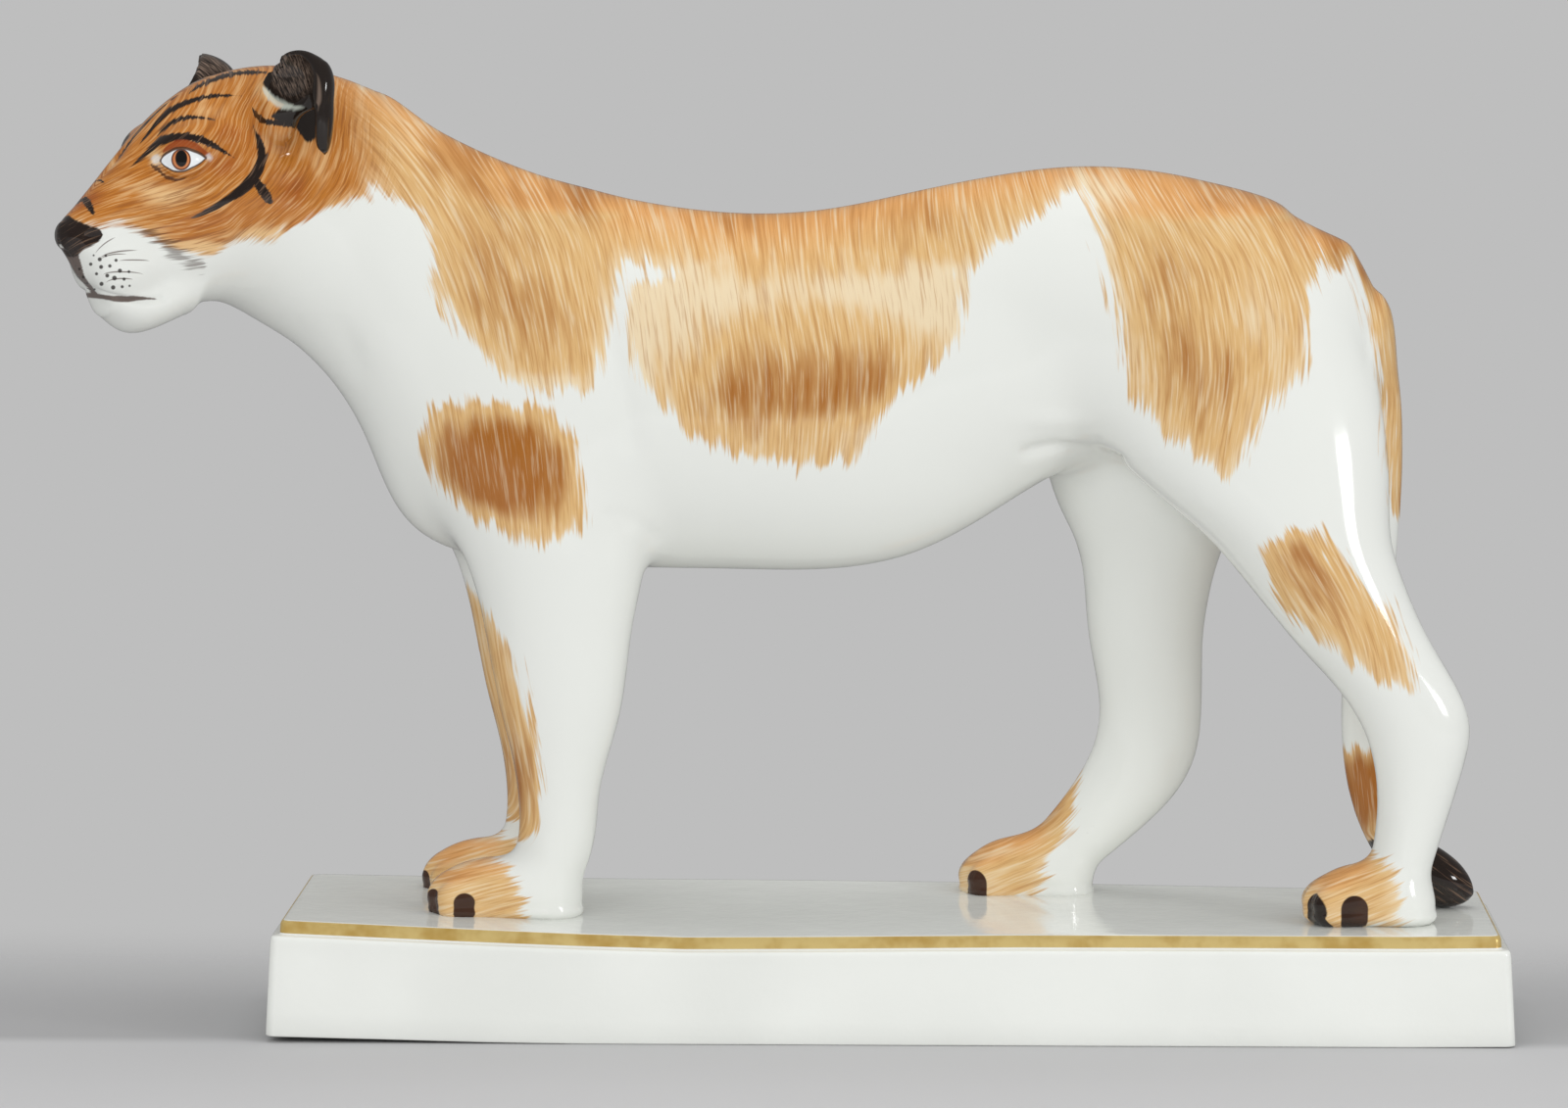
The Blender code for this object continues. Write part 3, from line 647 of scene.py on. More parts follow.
# creases in mm: points along, width, depth
bodyCreases = [
    ([(129, 307), (142, 310), (155, 308), (168, 304), (176, 303)], 3.2, 2.6),
    ([(-92, 392), (-90, 366), (-84, 340), (-80, 312)], 5.0, 1.0),
    ([(-70, 262), (-80, 272), (-94, 274)], 3.0, 1.2),
    ([(-250, 404), (-236, 380), (-226, 352)], 6.0, 1.0),
]
headSwells = [
    ((118, 21, -36), (14, 8, 11), 1.3),
    ((60, 40, 2), (20, 12, 16), 1.3),
    ((106, 15, 6), (14, 6, 6), -0.7),
    ((132, 17, -19), (4.5, 4.0, 3.2), -2.6),
    ((112, 0, 22), (16, 4, 9), -1.2),
    ((141, 0, -17), (6, 4, 6), 0.8),
    ((106, 0, -66), (10, 10, 8), 1.0),
    ((131, 0, -41), (8, 10, 10), 2.4),
]
headCreases = [
    ([(142, 0, -21), (137, 0, -31), (132, 0, -42)], 1.5, 1.5),
    ([(132, 0, -42), (128, 8, -48), (123, 18, -50), (115, 20, -52), (105, 22, -53),
    (96, 23, -52)], 1.7, 1.6),
    ([(98, 24, 15), (93, 31, 11), (86, 36, 9), (76, 41, 11)], 1.8, 0.7),
]
eye = {
    "middle": (88.0, 34.5, 20.5),
    "halfLength": 11.4,
    "halfHeight": 5.7,
    "reach": 13.0,
}
eyeAlong = np.array([-0.855, 0.513, 0.085])    # from the inner corner to the outer
eyeOut = np.array([0.513, 0.855, 0.0])


def eyeGap(mm):
    # height past the nearer lid, positive outside the almond, and the place within it
    away = mm - np.array(eye["middle"])
    a, b, out = away @ eyeAlong, away[:, 2] - away @ eyeAlong * 0.085, away @ eyeOut
    lid = eye["halfHeight"] * (1 - (a / eye["halfLength"]) ** 2)
    return (np.abs(b) - lid) * 0.86, a, b, out


def gaussian(distance, width):
    # a bell: 1 at no distance and 0.37 at the width
    return np.exp(-(distance / width) ** 2)


def pathGap(points, path, halfWidths):
    # how far a point lies inside a tapered stroke along the path, negative outside
    best = np.full(len(points), -99.0)
    path = np.asarray(path, float)
    halfWidths = np.broadcast_to(halfWidths, (len(path),))
    for k in range(len(path) - 1):
        span = path[k + 1] - path[k]
        share = np.clip((points - path[k]) @ span / (span @ span), 0, 1)
        gap = np.linalg.norm(points - path[k] - share[:, None] * span, axis=1)
        best = np.maximum(best, halfWidths[k] + (halfWidths[k + 1] - halfWidths[k]) * share - gap)
    return best


def detailHeights(points):
    # height in mm of every modelled touch, summed
    mm = points * 1000
    mirrored = np.column_stack([mm[:, 0], np.abs(mm[:, 1] - body["walkLine"] * 1000), mm[:, 2]])
    height = np.zeros(len(points))
    f, n, z = headMillimetres(points).T
    face = np.column_stack([f, np.abs(n), z])
    offHead = (np.clip((-f - 5) / 20, 0, 1) + np.clip((-z - 60) / 20, 0, 1)).clip(0, 1)
    for middle, radii, tall in bodySwells:
        height += offHead * tall * np.exp(-np.sum(((mirrored - middle) / radii) ** 2, axis=1))
    side = mm[:, [0, 2]]
    flankOnly = np.clip(mirrored[:, 1] / 20 - 0.5, 0, 1)
    for path, width, depth in bodyCreases:
        height -= offHead * flankOnly * depth * gaussian(np.maximum(-pathGap(side, path, 0.0), 0), width)
    near = onHead(points)
    touch = np.zeros(near.sum())
    for middle, radii, tall in headSwells:
        touch += tall * np.exp(-np.sum(((face[near] - middle) / radii) ** 2, axis=1))
    for path, width, depth in headCreases:
        touch -= depth * gaussian(np.maximum(-pathGap(face[near], path, 0.0), 0), width)
    gap, a, b, out = eyeGap(face[near])
    inEye = (np.abs(a) < 20) & (np.abs(b) < 16) & (np.abs(out) < 12)
    rim = 1.0 * gaussian(gap - 1.3, 1.1) - 0.9 * gaussian(gap - 4.2, 1.8)
    dome = -0.9 + 1.5 * np.maximum(1 - (a / 9) ** 2 - (b / 7) ** 2, 0)
    ball = np.where(gap < 0, dome, -0.9 * gaussian(gap, 0.5))
    touch += np.where(inEye, (rim + ball) * np.clip(1.6 - np.abs(a) / eye["reach"], 0, 1), 0)
    height[near] += touch
    return height


points, edges = meshArrays(mesh)
value, gradient = slope(points)
normals = gradient / np.linalg.norm(gradient, axis=1)[:, None]
points = points + normals * (detailHeights(points) * 0.001)[:, None]
setPoints(mesh, points)
mesh.shade_smooth()
figure = bpy.data.objects.new("lioness_skin", mesh)
bpy.context.scene.collection.objects.link(figure)
print("figure: modelled", flush=True)

# painted coat: side-view outlines in the figure's x and z, mm
coatOutlines = [
    [(-231, 437), (-223, 450), (-215, 445), (-205, 439), (-194, 435), (-187, 422), (-187, 396), (-179, 381),
     (-165, 366), (-152, 349), (-139, 343), (-124, 340), (-104, 339), (-96, 350), (-92, 371), (-89, 392),
     (-84, 408), (-70, 406), (-52, 398), (-20, 402), (31, 404), (83, 398), (104, 408), (129, 429),
     (155, 446),
     (160, 437), (169, 407), (176, 376), (181, 340), (205, 316), (230, 296), (239, 296), (253, 330),
     (275, 355),
     (281, 415), (290, 400), (297, 408), (303, 393), (312, 367), (317, 336), (319, 309), (322, 272),
     (400, 268),
     (400, 600), (-231, 600)],
    [(-81, 396), (-83, 376), (-77, 345), (-52, 319), (-21, 304), (15, 301), (36, 303), (52, 329), (72, 345),
     (96, 372), (95, 402), (60, 418), (31, 424), (-21, 422), (-45, 412), (-66, 397)],
    [(-195, 308), (-186, 329), (-171, 337), (-144, 335), (-124, 330), (-108, 314), (-105, 289), (-108, 265),
     (-129, 258), (-155, 268), (-182, 287)],
    [(253, 258), (263, 269), (281, 269), (299, 248), (318, 226), (328, 205), (331, 184), (312, 190),
     (279, 211),
     (258, 231)],
    [(-185, 232), (-162, 225), (-144, 203), (-137, 182), (-129, 154), (-128, 131), (-131, 107), (-138, 101),
     (-160, 104), (-185, 150)],
    [(156, 128), (154, 108), (150, 97), (140, 80), (134, 60), (80, 55), (80, 104), (120, 104), (143, 118)],
    [(-210, 55), (-210, 102), (-160, 97), (-144, 88), (-139, 74), (-139, 55)],
    [(260, 55), (260, 100), (308, 98), (322, 88), (326, 74), (326, 55)],
    [(280, 84), (280, 147), (306, 147), (325, 140), (325, 84)],
]
# a lobe of deeper colour: x, z, radius along x, radius along z, strength
coatDepths = [
    (-150, 300, 36, 26, 1.5), (-12, 336, 46, 26, 0.60), (42, 346, 42, 26, 0.50), (215, 355, 24, 30, 0.45),
    (290, 240, 20, 24, 0.5), (265, 258, 14, 10, 0.5), (-170, 470, 30, 22, 0.45), (-150, 410, 20, 40, 0.45),
    (-128, 372, 18, 26, 0.35), (-110, 440, 16, 20, 0.4), (-20, 432, 26, 12, 0.45), (70, 430, 30, 12, 0.45),
    (240, 450, 30, 22, 0.5), (300, 410, 26, 30, 0.8), (335, 320, 16, 60, 0.6), (-140, 130, 16, 50, 0.6),
    (310, 125, 20, 26, 1.1), (140, 110, 16, 20, 0.5), (-196, 450, 14, 20, 0.2), (200, 400, 18, 30, 0.3),
]
# a lobe of thinner colour, in the same form
coatThins = [
    (-60, 372, 24, 30, 0.6), (-38, 390, 34, 14, 0.5), (40, 394, 50, 9, 0.5), (96, 386, 22, 16, 0.5),
    (70, 385, 30, 14, 0.8), (-82, 350, 10, 30, 0.6),
    (-205, 470, 16, 18, 0.25), (170, 445, 14, 12, 0.4), (170, 380, 10, 40, 0.3), (255, 385, 16, 26, 0.35),
    (-125, 345, 30, 7, 0.4), (30, 320, 40, 8, 0.4),
]
# which way the brush goes, seen from the side: x, z and direction
bodyStrokes = [
    (-228, 482, 1.0, -0.8), (-205, 462, 0.8, -1.0), (-214, 448, 0.5, -1.0), (-190, 482, 1.0, -0.6),
    (-150, 468, 0.9, -0.8), (-110, 450, 0.7, -0.9), (-175, 440, 0.5, -1.0), (-170, 400, 0.4, -1.0),
    (-140, 400, 0.25, -1.0), (-110, 390, 0.05, -1.0), (-110, 355, -0.15, -1.0), (-150, 355, 0.3, -1.0),
    (-60, 430, 0.45, -1.0), (0, 428, 0.15, -1.0), (60, 436, -0.15, -1.0), (120, 450, 0.1, -1.0),
    (-70, 405, 0.4, -1.0),
    (-60, 380, 0.25, -1.0), (-60, 335, 0.3, -1.0), (-20, 370, 0.3, -1.0), (-20, 320, 0.15, -1.0),
    (30, 380, 0.2, -1.0), (30, 330, -0.1, -1.0), (80, 380, -0.15, -1.0), (80, 360, -0.45, -1.0),
    (40, 308, -0.4, -1.0),
    (180, 450, 0.7, -0.7), (230, 448, 0.9, -0.6), (270, 430, 0.8, -0.8), (190, 420, 0.2, -1.0),
    (190, 370, 0.1, -1.0),
    (220, 330, -0.15, -1.0), (240, 380, 0.15, -1.0), (262, 350, -0.1, -1.0), (300, 405, 0.7, -1.0),
    (322, 370, 0.3, -1.0), (332, 300, 0.0, -1.0), (338, 240, -0.1, -1.0), (262, 262, 0.6, -1.0),
    (285, 240, 0.8, -1.0),
    (310, 225, 0.6, -1.0), (322, 195, 0.3, -1.0), (-180, 310, 0.3, -1.0), (-165, 290, 0.35, -1.0),
    (-145, 320, 0.2, -1.0), (-115, 305, -0.1, -1.0), (-115, 275, -0.25, -1.0), (-140, 275, 0.35, -1.0),
    (-150, 170, 0.25, -1.0), (-140, 140, 0.2, -1.0), (-135, 112, 0.15, -1.0), (-170, 85, -1.0, -0.35),
    (-145, 88, -1.0, -0.1),
    (105, 85, -1.0, -0.4), (125, 90, -1.0, -0.4), (148, 112, -0.7, -1.0), (290, 85, -1.0, -0.4),
    (312, 88, -1.0, -0.4),
    (300, 130, 0.3, -1.0), (320, 190, 0.0, -1.0),
]
# the head's paint is laid out as a viewer on the near side sees it: mm back and up from the eye's middle,
# on an upright plane beside the head; the far side repeats it in the head's middle plane
portrait = {
    "viewer": (0.1272, -3.4515, 0.6000),
    "planeY": -0.050,
    "eye": (-317.0, 461.5),
    "backEnd": 100.0,
}
# on the head: back, up and the angle of the brush strokes above the level, degrees
headStrokes = [
    (-55, -24, 40), (-45, -16, 42), (-35, -4, 45), (-25, 9, 47), (-15, 23, 45), (-3, 35, 38), (10, 42, 28),
    (24, 46, 15), (39, 48, 5), (-40, -27, 15), (-30, -19, 16), (-20, -12, 20), (-25, -29, 6), (-10, -29, 6),
    (-10, -19, 12), (0, -14, 15), (4, -24, 15), (0, -36, 6), (14, -39, 14), (14, -29, 22), (19, -12, 30),
    (24, -2, 38), (19, 9, 46), (24, 15, 50), (4, 18, 35), (0, 25, 38), (14, 27, 36), (29, 25, 42),
    (34, 32, 32),
    (29, -19, 35), (34, -29, 42), (39, -39, 50), (49, -34, 52), (59, -29, 50), (49, -19, 60), (49, -4, 75),
    (49, 9, 85), (34, 5, 55), (37, 17, 60), (59, -14, 68), (64, 1, 85), (74, -9, 78), (74, 5, 92),
    (79, -19, 62),
    (83, -4, 90), (87, 15, 110), (83, 32, 120), (40, 35, 50), (60, 50, 10), (75, 48, 150),
]
# a lobe of deeper or thinner colour on the head: back, up, radius back, radius up, strength
headDepths = [
    (22, -3, 14, 8, 0.9), (24, 14, 10, 6, 0.7), (-50, -20, 9, 9, 0.6), (60, -16, 11, 13, 0.7),
    (28, -30, 14, 5, 0.4),
    (8, -33, 12, 4, 0.4), (40, 10, 7, 12, 0.5), (-4, 30, 12, 6, 0.2), (-20, 2, 8, 6, 0.2),
]
headThins = [
    (-16, -16, 12, 7, 0.7), (-2, -20, 10, 6, 0.4), (-13, 1, 5, 5, 0.9), (4, 26, 16, 4, 0.3),
    (12, -46, 16, 5, 0.6),
    (48, -40, 18, 5, 0.5), (46, 38, 8, 8, 0.6), (70, 0, 8, 20, 0.35), (-32, -12, 8, 4, 0.3),
]
# lower border of the head's coat: back, up
headBorder = [
    (-56, -38), (-48, -35.5), (-42, -35), (-35, -33.5), (-28, -35.5), (-21, -38), (-13, -42), (-5, -46.5),
    (4, -49), (14, -50),
    (20, -47), (29, -42.5), (39, -42), (45, -42.5), (54, -38), (64, -33), (74, -27), (84, -24.5), (89, -20),
]
# stripes that run back: rows of back, up and half thickness, mm
stripesBack = [
    [(-28, -4.4, -0.5), (-22, 0.5, 1.0), (-15.3, 6.4, 2.1), (-9.4, 10.6, 2.5), (-1.5, 12.3, 2.3),
     (6.4, 11.8, 2.4),
     (14.3, 9.2, 2.1), (21.2, 5.4, 1.3), (28.6, 1.0, -0.5)],
    [(-12.8, 12.8, -0.4), (-8.4, 17.3, 1.3), (-2.5, 21, 1.5), (4.4, 22.7, 1.2), (11.4, 22.4, 0.8),
     (18.3, 21.2, -0.4)],
    [(-22.7, 7.4, -0.4), (-17.3, 14.3, 1.1), (-10.4, 22.2, 1.9), (-2.5, 28.1, 1.8), (6.4, 31.6, 1.4),
     (14.3, 33.6, 1.2), (22.2, 34.3, 0.9), (32.6, 34.1, -0.4)],
    [(4.4, 35.1, -0.4), (10.4, 39.5, 1.1), (17.3, 42.5, 1.4), (26.2, 45.4, 1.4), (35.1, 46.6, 1.3),
     (46, 46.7, -0.2)],
    [(37.5, 28.6, -0.4), (40, 23.7, 2.2), (44.9, 20.4, 1.8), (51.8, 19.7, 1.8), (60, 19.1, 2.2)],
    [(-47.5, -8.4, -0.4), (-44, -9.8, 1.1), (-40.5, -11.8, -0.4)],
]
# stripes that run up: rows of up, back and half thickness
stripesUp = [
    [(-30.6, 5.4, -0.5), (-26.7, 14.3, 3.0), (-22.7, 21.2, 3.6), (-18.3, 28.1, 4.0), (-13.3, 34.1, 4.2),
     (-8.4, 38, 3.8), (-3.5, 41, 3.1), (1.5, 42.5, 2.7), (7.4, 42.2, 2.3), (13.3, 40, 1.3),
     (19.3, 38, -0.5)],
    [(-23, 46.7, -0.4), (-19.3, 44.9, 2.7), (-15.3, 42.5, 3.1), (-9.4, 39, 2.0)],
    [(-29.1, -46.7, -0.3), (-22.2, -49.9, 2.2), (-16.8, -53.3, 2.2), (-10, -54, -0.3)],
]
crownStripe = [(-34, 0, -0.5), (-28, 0, 1.2), (-18, 0, 1.7), (-8, 0, 1.3), (0, 0, -0.5)]
faceLines = {
    "mouth": [(-54, -68.1, 1.8), (-49, -70.4, 1.6), (-41, -72.1, 1.3), (-32, -73.1, 1.7), (-22, -72.7, 1.2),
              (-12, -73.1, -0.4)],
    "lip": [(-73, -42), (-66.7, -47.5), (-60.7, -51.5), (-53.8, -53.5), (-46, -56)],
    "upperLid": [(-11, -0.5), (-6.4, 4.2), (-0.5, 6.0), (6.4, 4.6), (12.8, 1.0)],
    "lowerLid": [(-11, -0.5), (-7.4, -4.0), (-1.5, -6.0), (5.4, -4.0), (12.8, 1.0)],
    "lidShade": [(-10, 4.0, -0.4), (-5.4, 7.4, 2.0), (-0.5, 8.8, 2.2), (6.4, 7.6, 2.2), (11.4, 4.6, 1.8),
                 (16.0, 1.6, -0.4)],
    "underEye": [(-16.3, -2.5, -0.4), (-12.3, -4.9, 1.3), (-8.4, -8.4, 1.1), (-2.5, -10.1, 0.7),
    (3.5, -8.9, -0.4)],
    "smudge": [(-33, -33, -1), (-22.2, -36, 2.4), (-13.3, -41, 4.4), (-5.4, -46.9, 5.4), (2.5, -51.8, 4.8),
               (12.5, -55.5, -1)],
}
whiskers = [
    [(-46, -49, -0.2), (-41.5, -44.4, 0.34), (-35, -40.5, -0.2)], [(-43.5, -51.4, -0.2),
     (-35, -48.4, 0.36), (-23, -47.4, -0.2)],
    [(-34, -53.3, -0.2), (-25.2, -52.6, 0.3), (-17, -53.3, -0.2)], [(-42, -61.2, -0.2),
     (-35, -58.9, 0.36), (-27.2, -59, 0.3), (-20, -60.8, -0.2)],
    [(-41, -65.2, -0.2), (-33, -62.4, 0.34), (-26, -62.8, -0.2)], [(-44, -53, -0.2), (-37, -49.8, 0.3),
     (-29, -49.5, -0.2)],
]
# back, up and radius of the dots that the whiskers grow from
whiskerDots = [
    (-46.9, -50.2, 0.7), (-43.7, -52.3, 1.2), (-40.5, -50.4, 0.8), (-35.1, -52.8, 0.8), (-48.4, -54.8, 0.9),
    (-43, -56.3, 1.1), (-38.4, -55.8, 0.9), (-45.4, -59.9, 0.8), (-39.8, -60.9, 1.0), (-33.1, -58.3, 1.0),
    (-28.3, -58.8, 0.7), (-42.8, -65.2, 1.1), (-36, -62.2, 1.2), (-30.9, -62.7, 0.8), (-36.7, -67.1, 1.2),
    (-31.9, -66.7, 0.8), (-28, -66.2, 0.6), (-54.3, -57.3, 0.7), (-52.3, -61.5, 0.8), (-50.4, -64.9, 0.7),
    (-46.4, -68, 0.6),
]
nosePad = [(-72, -36, 6), (-64, -37, 7.8), (-60, -39.2, 10.8), (-56, -41, 9.6), (-52, -40, 7.0),
(-48, -40, 5.2),
           (-44.5, -39.5, 3.6), (-41.8, -39.3, -0.5)]
# the painted eye in the same mm: ends are back, ovals are middle and two radii, corners are round spots of
# painted highlight at the eye's corners
eyePaint = {
    "ends": (-11.0, 12.8),
    "lidEnds": (-11.5, 13.5),
    "iris": (-0.2, 0.3, 5.2, 5.7),
    "pupil": (-0.1, 0.9, 3.2, 4.5),
    "corners": [(-13.3, 0.5, 0.0, 2.4), (14.6, 1.5, 0.0, 2.0)],
}
# shadow is a band of painted shadow under the ear
earPaint = {
    "cup": (58.8, 43.4, 11.4, 13.3),
    "strip": [(10.5, 70, -0.3), (20.2, 69.3, 1.6), (27.2, 71, 1.3), (35, 72.8, 1.1), (46, 71, -0.3)],
    "tuft": [(43, 38, -0.4), (46, 34.5, 3.0), (51, 30.5, 2.8), (57, 28.4, 2.0), (65, 27.6, -0.4)],
    "shadow": [(47, 23, -0.5), (52, 23.5, 3.6), (57, 25, 5.2), (61, 23.8, 7.0), (64, 22, 9.0),
    (68, 20.2, 10.5),
               (72, 24, 4.0)],
}
# place and radius of the dark claws, mm
claws = [(-188, -40, 68, 7.0), (-169, -53, 68, 7.0), (-188, -20, 68, 5.0), (-171, -8, 68, 5.0),
         (-199, 43, 68, 6.0), (-183, 28, 68, 5.0), (-198, 61, 68, 5.0), (-183, 78, 68, 5.0),
         (283, -51, 68, 7.8), (301, -57, 68, 7.2), (283, -26, 68, 5.0), (299, -12, 68, 5.0),
         (100, 40, 68, 7.5), (119, 30, 68, 7.2), (101, 62, 68, 5.0), (117, 78, 68, 5.0)]
clawTop = 68.0


def outlineGap(flat, outline):
    # signed distance to a closed outline in a plane, positive inside
    corner = np.asarray(outline, float)
    after = np.roll(corner, -1, axis=0)
    nearest = np.full(len(flat), 1e9)
    inside = np.zeros(len(flat), bool)
    for first, second in zip(corner, after):
        span = second - first
        share = np.clip((flat - first) @ span / (span @ span), 0, 1)
        nearest = np.minimum(nearest, np.linalg.norm(flat - first - share[:, None] * span, axis=1))
        spans = (first[1] > flat[:, 1]) != (second[1] > flat[:, 1])
        reach = first[0] + (flat[:, 1] - first[1]) * span[0] / (span[1] if span[1] else 1e-9)
        inside ^= spans & (flat[:, 0] < reach)
    return np.where(inside, nearest, -nearest)


def portraitPlace(points):
    # mirrors the far side of the head, then projects from the viewer onto the portrait's plane
    viewer = np.array(portrait["viewer"])
    across = (points - headJoint - centringShift) @ headNear
    nearSide = points - headNear * (2 * np.minimum(across, 0))[:, None]
    share = (portrait["planeY"] - viewer[1]) / (nearSide[:, 1] - viewer[1])
    flat = (viewer + (nearSide - viewer) * share[:, None])[:, [0, 2]] * 1000
    return flat - np.array(portrait["eye"]), across < 0


def lobes(flat, table):
    # a sum of bells in a plane, each with two radii and a strength
    total = np.zeros(len(flat))
    for x, z, wide, tall, strength in table:
        total += strength * np.exp(-((flat[:, 0] - x) / wide) ** 2 - ((flat[:, 1] - z) / tall) ** 2)
    return total


def strokeWay(flat, places, ways, reach):
    # direction of the nearest samples, weighted by a bell of the distance
    weight = np.exp(-np.sum((flat[:, None, :] - places[None]) ** 2, axis=2) / reach ** 2) + 1e-12
    way = weight @ (ways / np.linalg.norm(ways, axis=1)[:, None])
    return way / (np.linalg.norm(way, axis=1)[:, None] + 1e-9)


def solveAcross(points, edges, way, start, rounds):
    # conjugate gradients on the edges: values whose differences follow the wanted direction
    first, second = edges.T
    wanted = np.sum((points[second] - points[first]) * (way[first] + way[second]) * 0.5, axis=1)
    count = len(points)

    def spread(values):
        # each point's sum of differences to its neighbours
        flow = values[second] - values[first]
        return np.bincount(second, flow, count) - np.bincount(first, flow, count)

    values = start.copy()
    degree = np.maximum(np.bincount(edges.ravel(), minlength=count), 1)
    left = np.bincount(second, wanted, count) - np.bincount(first, wanted, count) - spread(values)
    eased = left / degree
    step, energy = eased.copy(), left @ eased
    for _ in range(rounds):
        spreadStep = spread(step)
        size = energy / (step @ spreadStep)
        values += size * step
        left -= size * spreadStep
        eased = left / degree
        newEnergy = left @ eased
        step = eased + step * (newEnergy / energy)
        energy = newEnergy
    return values


def solveCoarse(points, edges, way, start, cellSize, rounds):
    # the same on cells that each gather the points of a small cube, carried back to the points
    cell = np.unique(np.floor(points / cellSize).astype(int), axis=0, return_inverse=True)[1].ravel()
    size = np.bincount(cell)[:, None]
    middle = np.column_stack([np.bincount(cell, points[:, k]) for k in range(3)]) / size
    cellWay = np.column_stack([np.bincount(cell, way[:, k]) for k in range(3)]) / size
    links = np.sort(cell[edges], axis=1)
    links = np.unique(links[links[:, 0] != links[:, 1]], axis=0)
    coarse = solveAcross(middle, links, cellWay, np.bincount(cell, start) / size[:, 0], rounds)
    return coarse[cell] + np.sum((points - middle[cell]) * way, axis=1)


def smoothStep(value, low, high):
    # from 0 at low to 1 at high: 3 t squared less 2 t cubed
    t = np.clip((value - low) / (high - low), 0, 1)
    return t * t * (3 - 2 * t)


def addPaint(mesh, name, values):
    # one number at each point, which a material reads by its name
    mesh.attributes.new(name, "FLOAT", "POINT").data.foreach_set("value", np.asarray(values, np.float32))


print("paint: coat", flush=True)
points, edges = meshArrays(mesh)
mm = points * 1000
side = mm[:, [0, 2]]
face = headMillimetres(points)
faceFlat, farFace = portraitPlace(points)
onTail = (mm[:, 0] > 290) & (mm[:, 1] > -6) & (mm[:, 2] < 205)
headShare = smoothStep(face[:, 0], -34, 4) * smoothStep(face[:, 2], -78, -60)
headShare *= smoothStep(-np.abs(face[:, 1]), -95, -80)

coat = np.full(len(mm), -60.0)
for number, outline in enumerate(coatOutlines):
    gap = outlineGap(side, outline)
    if number == len(coatOutlines) - 1:
        gap = np.where(onTail, gap, -60)
    if number in (6, 7):
        gap = np.where(onTail, -60, gap)
    coat = np.maximum(coat, gap)
tone = (lobes(side, coatDepths) - lobes(side, coatThins)) * (1 - headShare)
tone += (lobes(faceFlat, headDepths) - lobes(faceFlat, headThins)) * headShare
earGap = np.full(len(mm), -30.0)
near = onHead(points)
for ear in ears:
    earGap[near] = np.maximum(earGap[near], 1.0 - 1000 * earDistance(ear, points[near] - centringShift))

value, gradient = slope(points)
normals = gradient / np.linalg.norm(gradient, axis=1)[:, None]


def acrossStrokes(flatWay, mirrored, chosen, start, rounds):
    # values that grow square to the brush's way as it is seen from the side
    across = np.column_stack([-flatWay[:, 1], np.zeros(len(mm)), flatWay[:, 0]])
    across -= headNear * (2 * np.where(mirrored, across @ headNear, 0))[:, None]
    kept = edges[chosen[edges[:, 0]] & chosen[edges[:, 1]]]
    return solveAcross(mm, kept, across, solveCoarse(mm, kept, across, start, 8.0, 150), rounds)


strokes = np.array(bodyStrokes)
bodyWay = strokeWay(side, strokes[:, :2], strokes[:, 2:], 24.0)
tailWay = np.where(mm[:, 2:] > 100, (0.12, -1.0), (0.80, -0.60))
bodyWay = np.where(onTail[:, None], tailWay, bodyWay)
strokes = np.array(headStrokes, float)
angles = np.radians(strokes[:, 2])
headWay = strokeWay(faceFlat, strokes[:, :2], np.column_stack([np.cos(angles), np.sin(angles)]), 8.0)
bodyAcross = acrossStrokes(bodyWay, np.zeros(len(mm), bool), headShare < 0.98, mm[:, 0], 110)
headAcross = acrossStrokes(headWay, farFace, headShare > 0, face[:, 2], 160)
tip = np.where(onTail, np.minimum(96 - mm[:, 2], mm[:, 0] - 312), -30)
for name, values in [("coat", np.clip(coat, -40, 40)), ("tone", tone), ("headShare", headShare),
                     ("bodyAcross", bodyAcross), ("headAcross", headAcross),
                     ("ear", np.clip(earGap, -30, 30)),
                     ("tip", np.clip(tip, -30, 30)), ("back", faceFlat[:, 0]), ("up", faceFlat[:, 1]),
                     ("out", np.abs(face[:, 1])), ("top", smoothStep(normals[:, 2], 0.40, 0.95))]:
    addPaint(mesh, name, values)
print("paint: done", flush=True)


def colour(red, green, blue):
    # screen values 0 to 255 as the linear colour a shader takes
    shares = [c / 255 for c in (red, green, blue)]
    return tuple(c / 12.92 if c <= 0.04 else ((c + 0.055) / 1.055) ** 2.4 for c in shares) + (1,)


paint = {
    "porcelain": colour(233, 235, 230),
    "porcelainLight": colour(240, 242, 237),
    "coat": colour(222, 182, 124),
    "coatWarm": colour(224, 160, 94),
    "coatDeep": colour(166, 102, 36),
    "coatPale": colour(236, 216, 180),
    "coatHair": colour(176, 116, 58),
    "headCoat": colour(188, 118, 46),
    "headDeep": colour(166, 90, 34),
    "headPale": colour(230, 190, 136),
    "headHair": colour(138, 76, 30),
    "stripe": colour(34, 24, 19),
    "stripeBrush": colour(104, 82, 66),
    "line": colour(70, 44, 32),
    "lidShade": colour(146, 62, 24),
    "iris": colour(206, 128, 78),
    "irisRim": colour(104, 54, 32),
    "pupil": colour(16, 12, 11),
    "eyeWhite": colour(238, 242, 244),
    "ear": colour(34, 27, 23),
    "earBrush": colour(142, 122, 108),
    "tuft": colour(196, 202, 190),
    "claw": colour(64, 40, 27),
    "gilt": colour(222, 196, 128),
    "giltDark": colour(196, 160, 84),
    "bodyPitch": 0.85,       # strokes per mm across
    "headPitch": 1.25,
    "bodyTuft": 0.20,        # the same for whole tufts of strokes
    "headTuft": 0.30,
    "fineFray": 16.0,        # mm that the coat's border moves with the strokes
    "broadFray": 20.0,       # and with the tufts
    "ragged": 3.8,           # mm that a dark stripe's edge moves with the strokes
    "strokeLength": 38.0,    # noise cells per metre along a stroke
    "glazeRoughness": 0.09,
}


